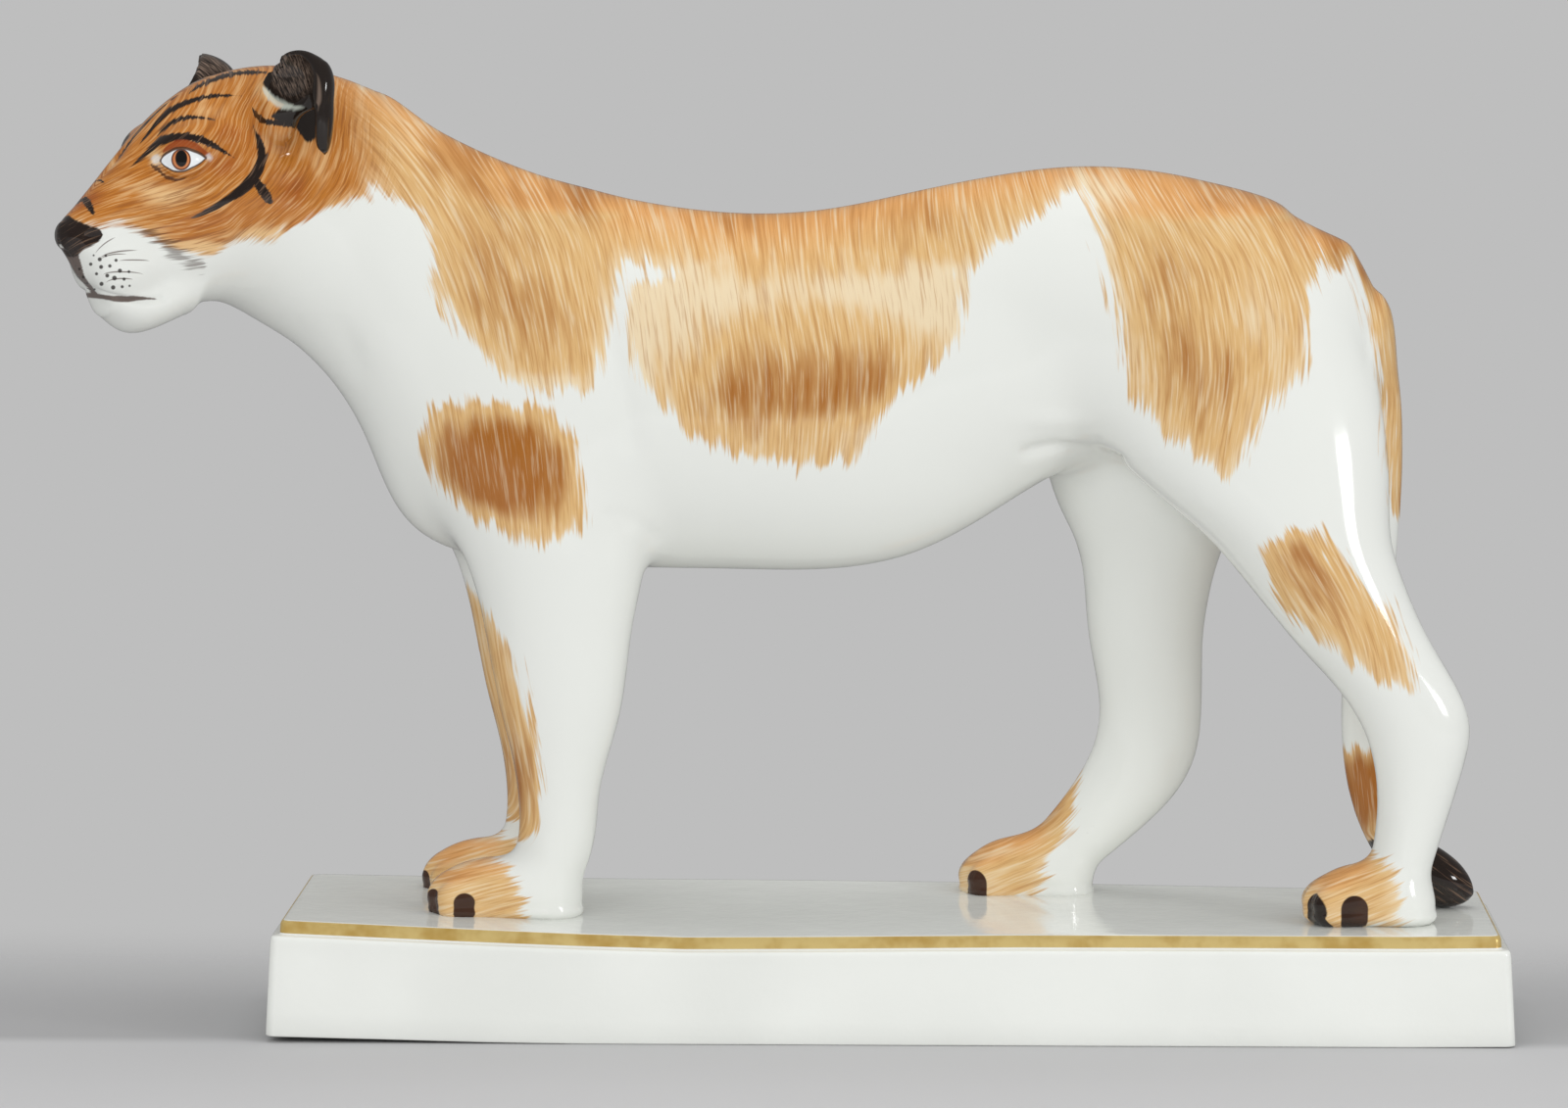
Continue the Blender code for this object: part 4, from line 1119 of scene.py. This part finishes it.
class Painter:
    # short names for the nodes one material is wired from
    def __init__(self, name):
        self.material = bpy.data.materials.new(name)
        self.material.use_nodes = True
        self.tree = self.material.node_tree
        self.shader = self.tree.nodes["Principled BSDF"]

    def node(self, kind, *inputs, **settings):
        # a new node with its first inputs fed in order
        made = self.tree.nodes.new(kind)
        for key, setting in settings.items():
            setattr(made, key, setting)
        for socket, given in zip(made.inputs, inputs):
            if given is not None:
                self.feed(socket, given)
        return made

    def feed(self, socket, given):
        # links a socket, or sets a plain value
        if isinstance(given, bpy.types.NodeSocket):
            self.tree.links.new(given, socket)
        else:
            socket.default_value = given

    def value(self, name):
        # a number that the mesh carries at its points
        return self.node("ShaderNodeAttribute", attribute_name=name).outputs["Fac"]

    def sum(self, a, b, how="ADD"):
        # a sum, or another operation on two numbers
        return self.node("ShaderNodeMath", a, b, operation=how).outputs[0]

    def step(self, value, low, high, start=0.0, end=1.0):
        # a smooth rise from start at low to end at high
        made = self.node("ShaderNodeMapRange", value, low, high, start, end, interpolation_type="SMOOTHSTEP")
        return made.outputs[0]

    def noise(self, place, scale, detail=2.0, roughness=0.5):
        # cloudy numbers round 0.5
        made = self.node("ShaderNodeTexNoise")
        for key, given in (("Vector", place), ("Scale", scale), ("Detail", detail),
        ("Roughness", roughness)):
            self.feed(made.inputs[key], given)
        return made.outputs["Fac"]

    def place(self, x, y, z=0.0):
        # three numbers as one place
        return self.node("ShaderNodeCombineXYZ", x, y, z).outputs[0]

    def between(self, share, a, b):
        # a + share (b - a)
        return self.sum(a, self.sum(self.sum(b, a, "SUBTRACT"), share, "MULTIPLY"))

    def blend(self, share, a, b):
        # a colour between two colours
        made = self.node("ShaderNodeMix", data_type="RGBA")
        for key, given in (("Factor", share), ("A", a), ("B", b)):
            socket = [s for s in made.inputs if s.name == key and s.enabled][-1]
            self.feed(socket, given)
        return [s for s in made.outputs if s.enabled][0]

    def curve(self, value, rows):
        # a smooth curve through rows of (value, result), level beyond both ends
        values, results = [row[0] for row in rows], [row[1] for row in rows]
        low, high = min(results), max(max(results), min(results) + 0.001)
        scaled = self.node("ShaderNodeMapRange", value, values[0], values[-1], 0.0, 1.0).outputs[0]
        made = self.node("ShaderNodeFloatCurve", 1.0, scaled)
        dots = made.mapping.curves[0].points
        for x, y in zip(values, results):
            spot = ((x - values[0]) / (values[-1] - values[0]), (y - low) / (high - low))
            if x == values[0]:
                dots[0].location = spot
            elif x == values[-1]:
                dots[-1].location = spot
            else:
                dots.new(*spot)
        made.mapping.update()
        return self.node("ShaderNodeMapRange", made.outputs[0], 0.0, 1.0, low, high).outputs[0]

    def band(self, along, across, rows):
        # rows of (along, across, half thickness): how far inside that band a point lies, mm
        middle = self.curve(along, [row[:2] for row in rows])
        half = self.curve(along, [(row[0], row[2]) for row in rows])
        away = self.sum(self.sum(across, middle, "SUBTRACT"), 0.0, "ABSOLUTE")
        past, short = self.sum(along, rows[0][0], "SUBTRACT"), self.sum(rows[-1][0], along, "SUBTRACT")
        beyond = self.sum(past, short, "MINIMUM")
        return self.sum(self.sum(half, away, "SUBTRACT"), self.sum(beyond, 3.0, "MULTIPLY"), "MINIMUM")

    def oval(self, across, up, spot):
        # how far inside an ellipse (middle across, middle up, radius, radius) a point lies, mm
        x = self.sum(self.sum(across, spot[0], "SUBTRACT"), spot[2], "DIVIDE")
        y = self.sum(self.sum(up, spot[1], "SUBTRACT"), spot[3], "DIVIDE")
        length = self.node("ShaderNodeVectorMath", self.place(x, y), operation="LENGTH").outputs["Value"]
        return self.sum(self.sum(1.0, length, "SUBTRACT"), min(spot[2:]), "MULTIPLY")

    def most(self, gaps):
        # the largest of several numbers
        total = gaps[0]
        for gap in gaps[1:]:
            total = self.sum(total, gap, "MAXIMUM")
        return total

    def spots(self, place, table):
        # how far inside the nearest round spot (x, y, z, radius) a point lies
        gaps = []
        for *middle, radius in table:
            away = self.node("ShaderNodeVectorMath", place, tuple(middle), operation="DISTANCE")
            gaps.append(self.sum(radius, away.outputs["Value"], "SUBTRACT"))
        return self.most(gaps)


def lionessPaint():
    # porcelain, coat, stripes, eye, muzzle, ears and claws, each laid over the last
    p = Painter("painted_porcelain")
    where = p.node("ShaderNodeTexCoord").outputs["Object"]
    axes = p.node("ShaderNodeSeparateXYZ", where).outputs
    lengthways = [p.sum(axes[k], paint["strokeLength"], "MULTIPLY") for k in (0, 2)]
    headShare, tone = p.value("headShare"), p.value("tone")
    back, up = p.value("back"), p.value("up")

    def strokes(name, pitch, stretch, seed):
        # noise that is fine square to the brush's way and long beside it
        across = p.sum(p.sum(p.value(name), pitch, "MULTIPLY"), seed)
        return p.noise(p.place(across, p.sum(lengthways[0], stretch, "MULTIPLY"),
                               p.sum(lengthways[1], stretch, "MULTIPLY")), 1.0, 2.0, 0.55)

    bodyFine = strokes("bodyAcross", paint["bodyPitch"], 1.0, 0.0)
    bodyBroad = strokes("bodyAcross", paint["bodyTuft"], 0.6, 31.0)
    headFine = strokes("headAcross", paint["headPitch"], 1.4, 63.0)
    headBroad = strokes("headAcross", paint["headTuft"], 0.9, 97.0)
    fine, broad = p.between(headShare, bodyFine, headFine), p.between(headShare, bodyBroad, headBroad)
    cloud = p.noise(where, 22.0, 2.0, 0.5)
    fineShift, broadShift = p.sum(fine, 0.5, "SUBTRACT"), p.sum(broad, 0.5, "SUBTRACT")

    # the coat, whose border frays along the strokes
    headGap = p.sum(p.sum(up, p.curve(back, headBorder), "SUBTRACT"),
                    p.sum(portrait["backEnd"], back, "SUBTRACT"), "MINIMUM")
    coat = p.sum(p.value("coat"), headGap, "MAXIMUM")
    fray = p.sum(p.sum(fineShift, paint["fineFray"], "MULTIPLY"),
                 p.sum(broadShift, paint["broadFray"], "MULTIPLY"))
    covered = p.step(p.sum(coat, p.sum(fray, p.step(headShare, 0.0, 1.0, 1.0, 0.6), "MULTIPLY")), -2.0, 3.0)
    shade = p.sum(tone, p.sum(p.sum(cloud, 0.5, "SUBTRACT"), 0.7, "MULTIPLY"))
    shade = p.sum(shade, p.sum(broadShift, 1.3, "MULTIPLY"))
    shade = p.sum(shade, p.step(coat, 0.0, 14.0, 0.40, 0.0), "SUBTRACT")
    deeper, paler = p.step(shade, 0.0, 1.0), p.step(shade, 0.0, -0.8)
    bodyTint = p.blend(p.sum(p.value("top"), 0.85, "MULTIPLY"), paint["coat"], paint["coatWarm"])
    bodyTint = p.blend(paler, p.blend(deeper, bodyTint, paint["coatDeep"]), paint["coatPale"])
    headTint = p.blend(paler, p.blend(deeper, paint["headCoat"], paint["headDeep"]), paint["headPale"])
    dark, pale = p.step(fine, 0.50, 0.68), p.step(fine, 0.50, 0.32)
    bodyTint = p.blend(p.sum(dark, 0.42, "MULTIPLY"), bodyTint, paint["coatHair"])
    paleHair = p.sum(pale, p.step(deeper, 0.0, 1.0, 0.58, 0.30), "MULTIPLY")
    bodyTint = p.blend(paleHair, bodyTint, paint["coatPale"])
    headTint = p.blend(p.sum(dark, 0.60, "MULTIPLY"), headTint, paint["headHair"])
    headTint = p.blend(p.sum(pale, 0.48, "MULTIPLY"), headTint, paint["headPale"])
    surface = p.blend(covered, paint["porcelain"], p.blend(headShare, bodyTint, headTint))

    # dark brushwork with ragged edges
    onHeadOnly = p.step(headShare, 0.45, 0.55)
    brushed = p.blend(p.step(fine, 0.54, 0.70), paint["stripe"], paint["stripeBrush"])
    ragged = p.sum(fineShift, paint["ragged"], "MULTIPLY")

    def lay(surface, gap, low, high, tint, strength=1.0):
        # a tint over the paint so far, where the gap is positive and only on the head
        share = p.sum(p.step(gap, low, high), p.sum(onHeadOnly, strength, "MULTIPLY"), "MULTIPLY")
        return p.blend(share, surface, tint)

    smudge = p.sum(p.band(back, up, faceLines["smudge"]), p.sum(fineShift, 22.0, "MULTIPLY"))
    surface = lay(surface, smudge, -1.0, 4.5, paint["line"], 0.62)
    stripeGap = p.most([p.band(back, up, rows) for rows in stripesBack]
                       + [p.band(up, back, rows) for rows in stripesUp]
                       + [p.band(back, p.value("out"), crownStripe)])
    surface = lay(surface, p.sum(stripeGap, ragged), -0.5, 0.6, brushed)
    underEye = p.band(back, up, faceLines["underEye"])
    surface = lay(surface, p.sum(underEye, ragged), -0.4, 0.6, paint["line"], 0.85)
    surface = lay(surface, p.band(back, up, faceLines["lidShade"]), -0.5, 0.7, paint["lidShade"], 0.85)

    # the eye, and painted highlights at its corners
    # pale spots at the eye's corners: painted highlights
    corners = p.spots(p.place(back, up), eyePaint["corners"])
    surface = lay(surface, p.sum(corners, ragged), -1.0, 1.4, paint["eyeWhite"], 0.6)
    upperLid, lowerLid = p.curve(back, faceLines["upperLid"]), p.curve(back, faceLines["lowerLid"])
    overLower, underUpper = p.sum(up, lowerLid, "SUBTRACT"), p.sum(upperLid, up, "SUBTRACT")
    inEye = p.sum(overLower, underUpper, "MINIMUM")
    inner, outer = eyePaint["ends"]
    ends = p.sum(p.sum(back, inner, "SUBTRACT"), p.sum(outer, back, "SUBTRACT"), "MINIMUM")
    inEye = p.sum(inEye, ends, "MINIMUM")
    iris, pupil = p.oval(back, up, eyePaint["iris"]), p.oval(back, up, eyePaint["pupil"])
    ball = p.blend(p.step(iris, -0.15, 0.25), paint["eyeWhite"], paint["irisRim"])
    ball = p.blend(p.step(iris, 0.5, 1.1), ball, paint["iris"])
    ball = p.blend(p.step(pupil, -0.2, 0.3), ball, paint["pupil"])
    surface = lay(surface, inEye, -0.15, 0.2, ball)
    lidLineAndShadow = p.sum(0.6, p.sum(inEye, 0.0, "ABSOLUTE"), "SUBTRACT")
    # a thicker dark band along the upper lid: painted shadow of the lid on the eye
    upperLidShadow = p.sum(0.9, p.sum(p.sum(underUpper, 0.3), 0.0, "ABSOLUTE"), "SUBTRACT")
    inner, outer = eyePaint["lidEnds"]
    ends = p.sum(p.sum(back, inner, "SUBTRACT"), p.sum(outer, back, "SUBTRACT"), "MINIMUM")
    lidLineAndShadow = p.most([lidLineAndShadow, p.sum(upperLidShadow, ends, "MINIMUM")])
    # the lids' painted outline together with the painted shadow under the upper lid, in the line colour
    surface = lay(surface, lidLineAndShadow, -0.2, 0.35, paint["line"], 0.9)

    # the muzzle
    mouth = p.band(back, up, faceLines["mouth"])
    lip = p.sum(p.curve(up, faceLines["lip"]), back, "SUBTRACT")
    lip = p.sum(lip, p.sum(p.sum(-46.0, up, "SUBTRACT"), p.sum(up, -71.0, "SUBTRACT"), "MINIMUM"), "MINIMUM")
    lips = p.sum(p.most([mouth, lip]), p.sum(ragged, 0.3, "MULTIPLY"))
    surface = lay(surface, lips, -0.4, 0.6, paint["line"], 0.9)
    hairs = p.most([p.band(back, up, rows) for rows in whiskers])
    surface = lay(surface, hairs, -0.25, 0.25, paint["line"], 0.8)
    dots = p.spots(p.place(back, up), [(x, z, 0.0, r) for x, z, r in whiskerDots])
    dots = p.sum(dots, p.sum(p.sum(cloud, 0.5, "SUBTRACT"), 1.5, "MULTIPLY"))
    surface = lay(surface, dots, -0.25, 0.35, paint["stripe"], 0.92)
    pad = p.band(back, up, nosePad)
    surface = lay(surface, p.sum(pad, p.sum(ragged, 0.6, "MULTIPLY")), -0.6, 0.8, brushed)

    # the ears
    streaks = p.noise(p.place(p.sum(p.sum(back, 1.2, "MULTIPLY"), p.sum(up, 0.5, "MULTIPLY")),
                              p.sum(p.sum(up, 0.16, "MULTIPLY"), p.sum(back, 0.06, "MULTIPLY"), "SUBTRACT")),
                      1.0, 2.0, 0.6)
    inCup = p.step(p.oval(back, up, earPaint["cup"]), -0.5, 2.5)
    lit = p.sum(p.sum(inCup, p.step(streaks, 0.40, 0.72), "MULTIPLY"),
                p.step(up, 30.0, 42.0, 0.25, 0.85), "MULTIPLY")
    earTint = p.blend(lit, paint["ear"], paint["earBrush"])
    strip = p.step(p.band(up, back, earPaint["strip"]), -0.8, 1.0)
    earTint = p.blend(p.sum(strip, 0.55, "MULTIPLY"), earTint, paint["earBrush"])
    surface = lay(surface, p.value("ear"), -0.6, 0.4, earTint)
    # painted shadow under the ear, in the ear's black
    surface = lay(surface, p.sum(p.band(back, up, earPaint["shadow"]), ragged), -1.0, 1.0, paint["ear"])
    surface = lay(surface, p.sum(p.band(back, up, earPaint["tuft"]), ragged), -1.0, 1.6, paint["tuft"], 0.75)

    # tail tip and claws
    tip = p.sum(p.value("tip"), p.sum(fineShift, 5.0, "MULTIPLY"))
    surface = p.blend(p.step(tip, -0.8, 0.8), surface, brushed)
    x, y, z = [p.sum(axis, 1000.0, "MULTIPLY") for axis in axes[:3]]
    clawGap = p.spots(p.place(x, y, p.sum(z, clawTop, "MAXIMUM")), claws)
    clawTint = p.blend(p.step(cloud, 0.4, 0.6), paint["claw"], paint["stripe"])
    surface = p.blend(p.step(clawGap, -0.3, 0.4), surface, clawTint)

    p.feed(p.shader.inputs["Base Color"], surface)
    p.shader.inputs["Roughness"].default_value = paint["glazeRoughness"]
    bump = p.node("ShaderNodeBump")
    bump.inputs["Strength"].default_value = 0.10
    bump.inputs["Distance"].default_value = 0.0006
    p.feed(bump.inputs["Height"], p.noise(where, 46.0, 2.0, 0.5))
    p.feed(p.shader.inputs["Normal"], bump.outputs[0])
    return p.material


figure.data.materials.append(lionessPaint())
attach(figure, "root")
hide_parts("lioness_figure")

# plinth: one profile carried round a rounded rectangle, from the hollow's middle to the top's middle
stand = {
    "cornerRadius": 0.0045,
    "sideSteps": 90,
    "endSteps": 26,
    "cornerSteps": 7,
    "sagX": (-0.270, -0.205, -0.155, -0.105, -0.050, 0.020, 0.125, 0.230, 0.330, 0.385),
    "nearTop": (0.0010, -0.0020, -0.0042, -0.0062, -0.0078, -0.0072, -0.0058, -0.0056, -0.0056, -0.0048),
    "farTop": (0.0035, 0.0026, 0.0020, 0.0018, 0.0016, 0.0012, 0.0002, -0.0015, -0.0032, -0.0036),
    "footLift": (0.0032, 0.0018, 0.0006, 0.0, 0.0, 0.0, 0.0, 0.0, 0.0, 0.0005),
}


def plinthRing():
    # points of a rounded rectangle of the block's outline, with how far each lies from the core line
    a, b, r = plinth["length"] / 2, plinth["width"] / 2, stand["cornerRadius"]
    parts = []
    corners = [(a - r, -b + r, -90), (a - r, b - r, 0), (-a + r, b - r, 90), (-a + r, -b + r, 180)]
    for k, (x, y, start) in enumerate(corners):
        angles = np.radians(start + np.linspace(0, 90, stand["cornerSteps"] + 1))
        parts.append(np.column_stack([x + r * np.cos(angles), y + r * np.sin(angles)]))
        x2, y2, start2 = corners[(k + 1) % 4]
        first = parts[-1][-1]
        angle2 = math.radians(start2)
        second = np.array([x2 + r * math.cos(angle2), y2 + r * math.sin(angle2)])
        steps = stand["endSteps"] if k in (0, 2) else stand["sideSteps"]
        share = np.linspace(0, 1, steps + 1)[1:-1, None]
        parts.append(first + (second - first) * share)
    return np.vstack(parts)


def plinthProfile():
    # (inset from the outline, height, 1 on the gilt)
    block, slab, step = plinth["blockHeight"], plinth["slabHeight"], plinth["slabInset"]
    wall, draft, edge = plinth["wall"], plinth["draft"], plinth["edgeRadius"]
    roof = block - plinth["roof"]
    middle = plinth["width"] / 2
    rows = [(middle, roof, 0), (0.070, roof, 0), (0.045, roof, 0), (0.022, roof, 0), (wall + 0.006, roof, 0),
            (wall + 0.003, roof - 0.0015, 0), (wall + 0.0015, roof - 0.004, 0),
            (wall + 0.0005, roof * 0.5, 0),
            (wall, 0.004, 0), (wall - 0.001, 0.001, 0), (wall - 0.0025, 0.0, 0),
            (0.0014, 0.0, 0), (0.0004, 0.0003, 0), (0.0, 0.0011, 0)]
    for share in (0.25, 0.5, 0.75, 0.92):
        rows.append((draft * share, block * share, 0))
    for angle in np.radians([0, 22, 45, 68, 90]):
        rows.append((draft + edge * 0.6 * (1 - math.cos(angle)), block - edge * (1 - math.sin(angle)), 0))
    for share, rise, gilt in ((0.62, 0.0001, 0), (0.84, 0.0004, 0), (0.91, 0.0008, 0), (0.94, 0.0014, 0.8),
                              (0.95, 0.0024, 1), (0.97, slab * 0.5, 1)):
        rows.append((draft + step * share, block + rise, gilt))
    for past, drop, gilt in ((0.0, 0.0022, 1), (0.0003, 0.0011, 1), (0.0010, 0.0003, 0.8), (0.0022, 0.0, 0)):
        rows.append((draft + step + past, plinthTop - drop, gilt))
    for inset in (0.012, 0.016, 0.022, 0.030, 0.040, 0.052, 0.066, 0.080, middle):
        rows.append((inset, plinthTop, 0))
    return np.array(rows)


def plinthSag(x, y, height):
    # firing pulled the plinth out of true: its foot lifts at the head's end, its top sinks in the middle
    foot = np.interp(x, stand["sagX"], stand["footLift"])
    near, far = np.interp(x, stand["sagX"], stand["nearTop"]), np.interp(x, stand["sagX"], stand["farTop"])
    across = 0.5 + y / plinth["width"]
    top = near + (far - near) * across
    share = np.clip(height / plinthTop, 0, 1)
    return foot * (1 - share) + top * share


def plinthMesh():
    # each row of the profile is the ring drawn in by its inset, raised by its height and the sag
    ring, profile = plinthRing(), plinthProfile()
    a, b = plinth["length"] / 2, plinth["width"] / 2
    core = np.column_stack([np.clip(ring[:, 0], -(a - b), a - b), np.zeros(len(ring))])
    inset, height, gilt = profile.T
    # scaling each axis towards the core keeps the rings parallel to the sides
    scale = 1 - np.minimum(inset / b, 1)
    rings = core[None] + (ring - core)[None] * scale[:, None, None]
    x, y = rings[..., 0] + plinth["centreX"] + centringShift[0], rings[..., 1]
    z = np.broadcast_to(height[:, None], x.shape) + plinthSag(x, y, height[:, None])
    count = len(ring)
    faces = []
    k = np.arange(count)
    for row in range(len(profile) - 1):
        low, high = row * count, (row + 1) * count
        faces.append(np.column_stack([low + k, low + (k + 1) % count, high + (k + 1) % count, high + k]))
    return np.column_stack([x.ravel(), y.ravel(), z.ravel()]), np.vstack(faces), np.repeat(gilt, count)


print("plinth", flush=True)
standPoints, standFaces, giltShare = plinthMesh()
standMesh = bpy.data.meshes.new("stepped_plinth")
standMesh.from_pydata(standPoints.tolist(), [], standFaces.tolist())
standMesh.update()
addPaint(standMesh, "gilt", giltShare)
sheet = bmesh.new()
sheet.from_mesh(standMesh)
bmesh.ops.remove_doubles(sheet, verts=sheet.verts, dist=1e-6)
bmesh.ops.recalc_face_normals(sheet, faces=sheet.faces)
sheet.to_mesh(standMesh)
sheet.free()
standMesh.shade_smooth()
standPiece = bpy.data.objects.new("stepped_plinth", standMesh)
bpy.context.scene.collection.objects.link(standPiece)


def plinthGlaze():
    # clouded white glaze, and brushed gilt where the profile asks for it
    p = Painter("glaze_and_gilding")
    where = p.node("ShaderNodeTexCoord").outputs["Object"]
    cloud = p.noise(where, 9.0, 2.0, 0.5)
    waves = p.noise(where, 60.0, 3.0, 0.6)
    white = p.blend(p.step(cloud, 0.3, 0.7), paint["porcelain"], paint["porcelainLight"])
    gilt = p.step(p.value("gilt"), 0.35, 0.65)
    gold = p.blend(p.step(p.noise(where, 45.0, 3.0, 0.6), 0.40, 0.70), paint["gilt"], paint["giltDark"])
    p.feed(p.shader.inputs["Base Color"], p.blend(gilt, white, gold))
    p.feed(p.shader.inputs["Metallic"], p.sum(gilt, 0.3, "MULTIPLY"))
    p.feed(p.shader.inputs["Roughness"], p.sum(p.sum(gilt, 0.22, "MULTIPLY"), 0.08))
    bump = p.node("ShaderNodeBump")
    bump.inputs["Strength"].default_value = 0.25
    bump.inputs["Distance"].default_value = 0.001
    p.feed(bump.inputs["Height"], waves)
    p.feed(p.shader.inputs["Normal"], bump.outputs[0])
    return p.material


standPiece.data.materials.append(plinthGlaze())
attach(standPiece, "root")
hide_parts("lioness_figure")

# studio: floor with painted shade from the plinth's front edge back, fading into the backdrop's grey, soft
# lamps, and the camera
studio = {
    "grey": colour(190, 190, 190),
    "floor": colour(200, 200, 201),
    "floorShadedBehind": colour(176, 176, 177),
    "floorShadeLine": -0.085,
    "floorFar": 0.37,
    "cameraPlace": (0.105, -3.682, 0.562),
    "cameraLooksAt": (-0.0014, 0.0, 0.2504),
    "lens": 158.9,
    "world": 0.55,        # strength of the light from all round
    "reflected": 0.42,    # strength of the grey that the glaze reflects
    "floorNear": -5.0,
    "floorEnd": 1.0,
    "floorHalfWidth": 5.0,
    # name, place, size, power, and whether the glaze shows it
    "lamps": [
        ("key_lamp", (-1.4, -2.6, 1.3), 1.8, 20.0, False),
        ("fill_lamp", (2.2, -2.0, 1.6), 1.8, 12.0, False),
        ("top_lamp", (0.0, 0.4, 2.6), 2.0, 20.0, False),
        ("front_lamp", (0.2, -3.3, 0.5), 1.2, 13.0, False),
        ("side_lamp", (2.5, -1.7, 0.8), 0.5, 13.0, True),
    ],
    "lampsAim": (0.0, 0.0, 0.25),
}


def makeStudio():
    # a grey world, a floor with painted shade behind its front part that fades into it, soft lamps, and the
    # camera
    scene = bpy.context.scene
    world = bpy.data.worlds.new("studio_grey")
    world.use_nodes = True
    tree = world.node_tree
    back = tree.nodes["Background"]
    plain = tree.nodes.new("ShaderNodeBackground")
    path = tree.nodes.new("ShaderNodeLightPath")
    mix = tree.nodes.new("ShaderNodeMixShader")
    back.inputs[0].default_value = (1, 1, 1, 1)
    back.inputs[1].default_value = studio["world"]
    plain.inputs[0].default_value = studio["grey"]
    bright = tree.nodes.new("ShaderNodeMath")
    bright.operation = "MULTIPLY_ADD"
    bright.inputs[1].default_value = 1.0 - studio["reflected"]
    bright.inputs[2].default_value = studio["reflected"]
    tree.links.new(path.outputs["Is Camera Ray"], bright.inputs[0])
    tree.links.new(bright.outputs[0], plain.inputs[1])
    seen = tree.nodes.new("ShaderNodeMath")
    seen.operation = "MAXIMUM"
    tree.links.new(path.outputs["Is Camera Ray"], seen.inputs[0])
    tree.links.new(path.outputs["Is Glossy Ray"], seen.inputs[1])
    tree.links.new(seen.outputs[0], mix.inputs[0])
    tree.links.new(back.outputs[0], mix.inputs[1])
    tree.links.new(plain.outputs[0], mix.inputs[2])
    tree.links.new(mix.outputs[0], tree.nodes["World Output"].inputs[0])
    scene.world = world

    near, far, wide = studio["floorNear"], studio["floorEnd"], studio["floorHalfWidth"]
    floorMesh = bpy.data.meshes.new("studio_floor")
    corners = [(-wide, near, 0), (wide, near, 0), (wide, far, 0), (-wide, far, 0)]
    floorMesh.from_pydata(corners, [], [(0, 1, 2, 3)])
    floor = bpy.data.objects.new("studio_floor", floorMesh)
    scene.collection.objects.link(floor)
    p = Painter("floor_paper")
    along = p.node("ShaderNodeSeparateXYZ", p.node("ShaderNodeTexCoord").outputs["Object"]).outputs[1]
    # the floor turns darker behind this line: painted shade
    turned = p.step(along, studio["floorShadeLine"] - 0.015, studio["floorShadeLine"] + 0.015)
    p.feed(p.shader.inputs["Base Color"], p.blend(turned, studio["floor"], studio["floorShadedBehind"]))
    p.shader.inputs["Roughness"].default_value = 0.75
    p.shader.inputs["Specular IOR Level"].default_value = 0.2
    p.feed(p.shader.inputs["Alpha"], p.step(along, studio["floorFar"], 0.03))
    floorMesh.materials.append(p.material)

    for name, place, size, power, glint in studio["lamps"]:
        lamp = bpy.data.lights.new(name, "AREA")
        lamp.shape, lamp.size, lamp.size_y, lamp.energy = "RECTANGLE", size, size * 0.8, power
        holder = bpy.data.objects.new(name, lamp)
        holder.location = place
        holder.visible_glossy = glint
        aim = Vector(studio["lampsAim"]) - Vector(place)
        holder.rotation_euler = aim.to_track_quat("-Z", "Y").to_euler()
        scene.collection.objects.link(holder)

    camera = bpy.data.cameras.new("photo_camera")
    camera.lens, camera.sensor_width = studio["lens"], 36.0
    camera.clip_start, camera.clip_end = 0.1, 60.0
    holder = bpy.data.objects.new("photo_camera", camera)
    holder.location = studio["cameraPlace"]
    sight = Vector(studio["cameraLooksAt"]) - Vector(studio["cameraPlace"])
    holder.rotation_euler = sight.to_track_quat("-Z", "Y").to_euler()
    scene.collection.objects.link(holder)
    scene.camera = holder
    scene.view_settings.view_transform = "Standard"


makeStudio()
print("scene: done", flush=True)
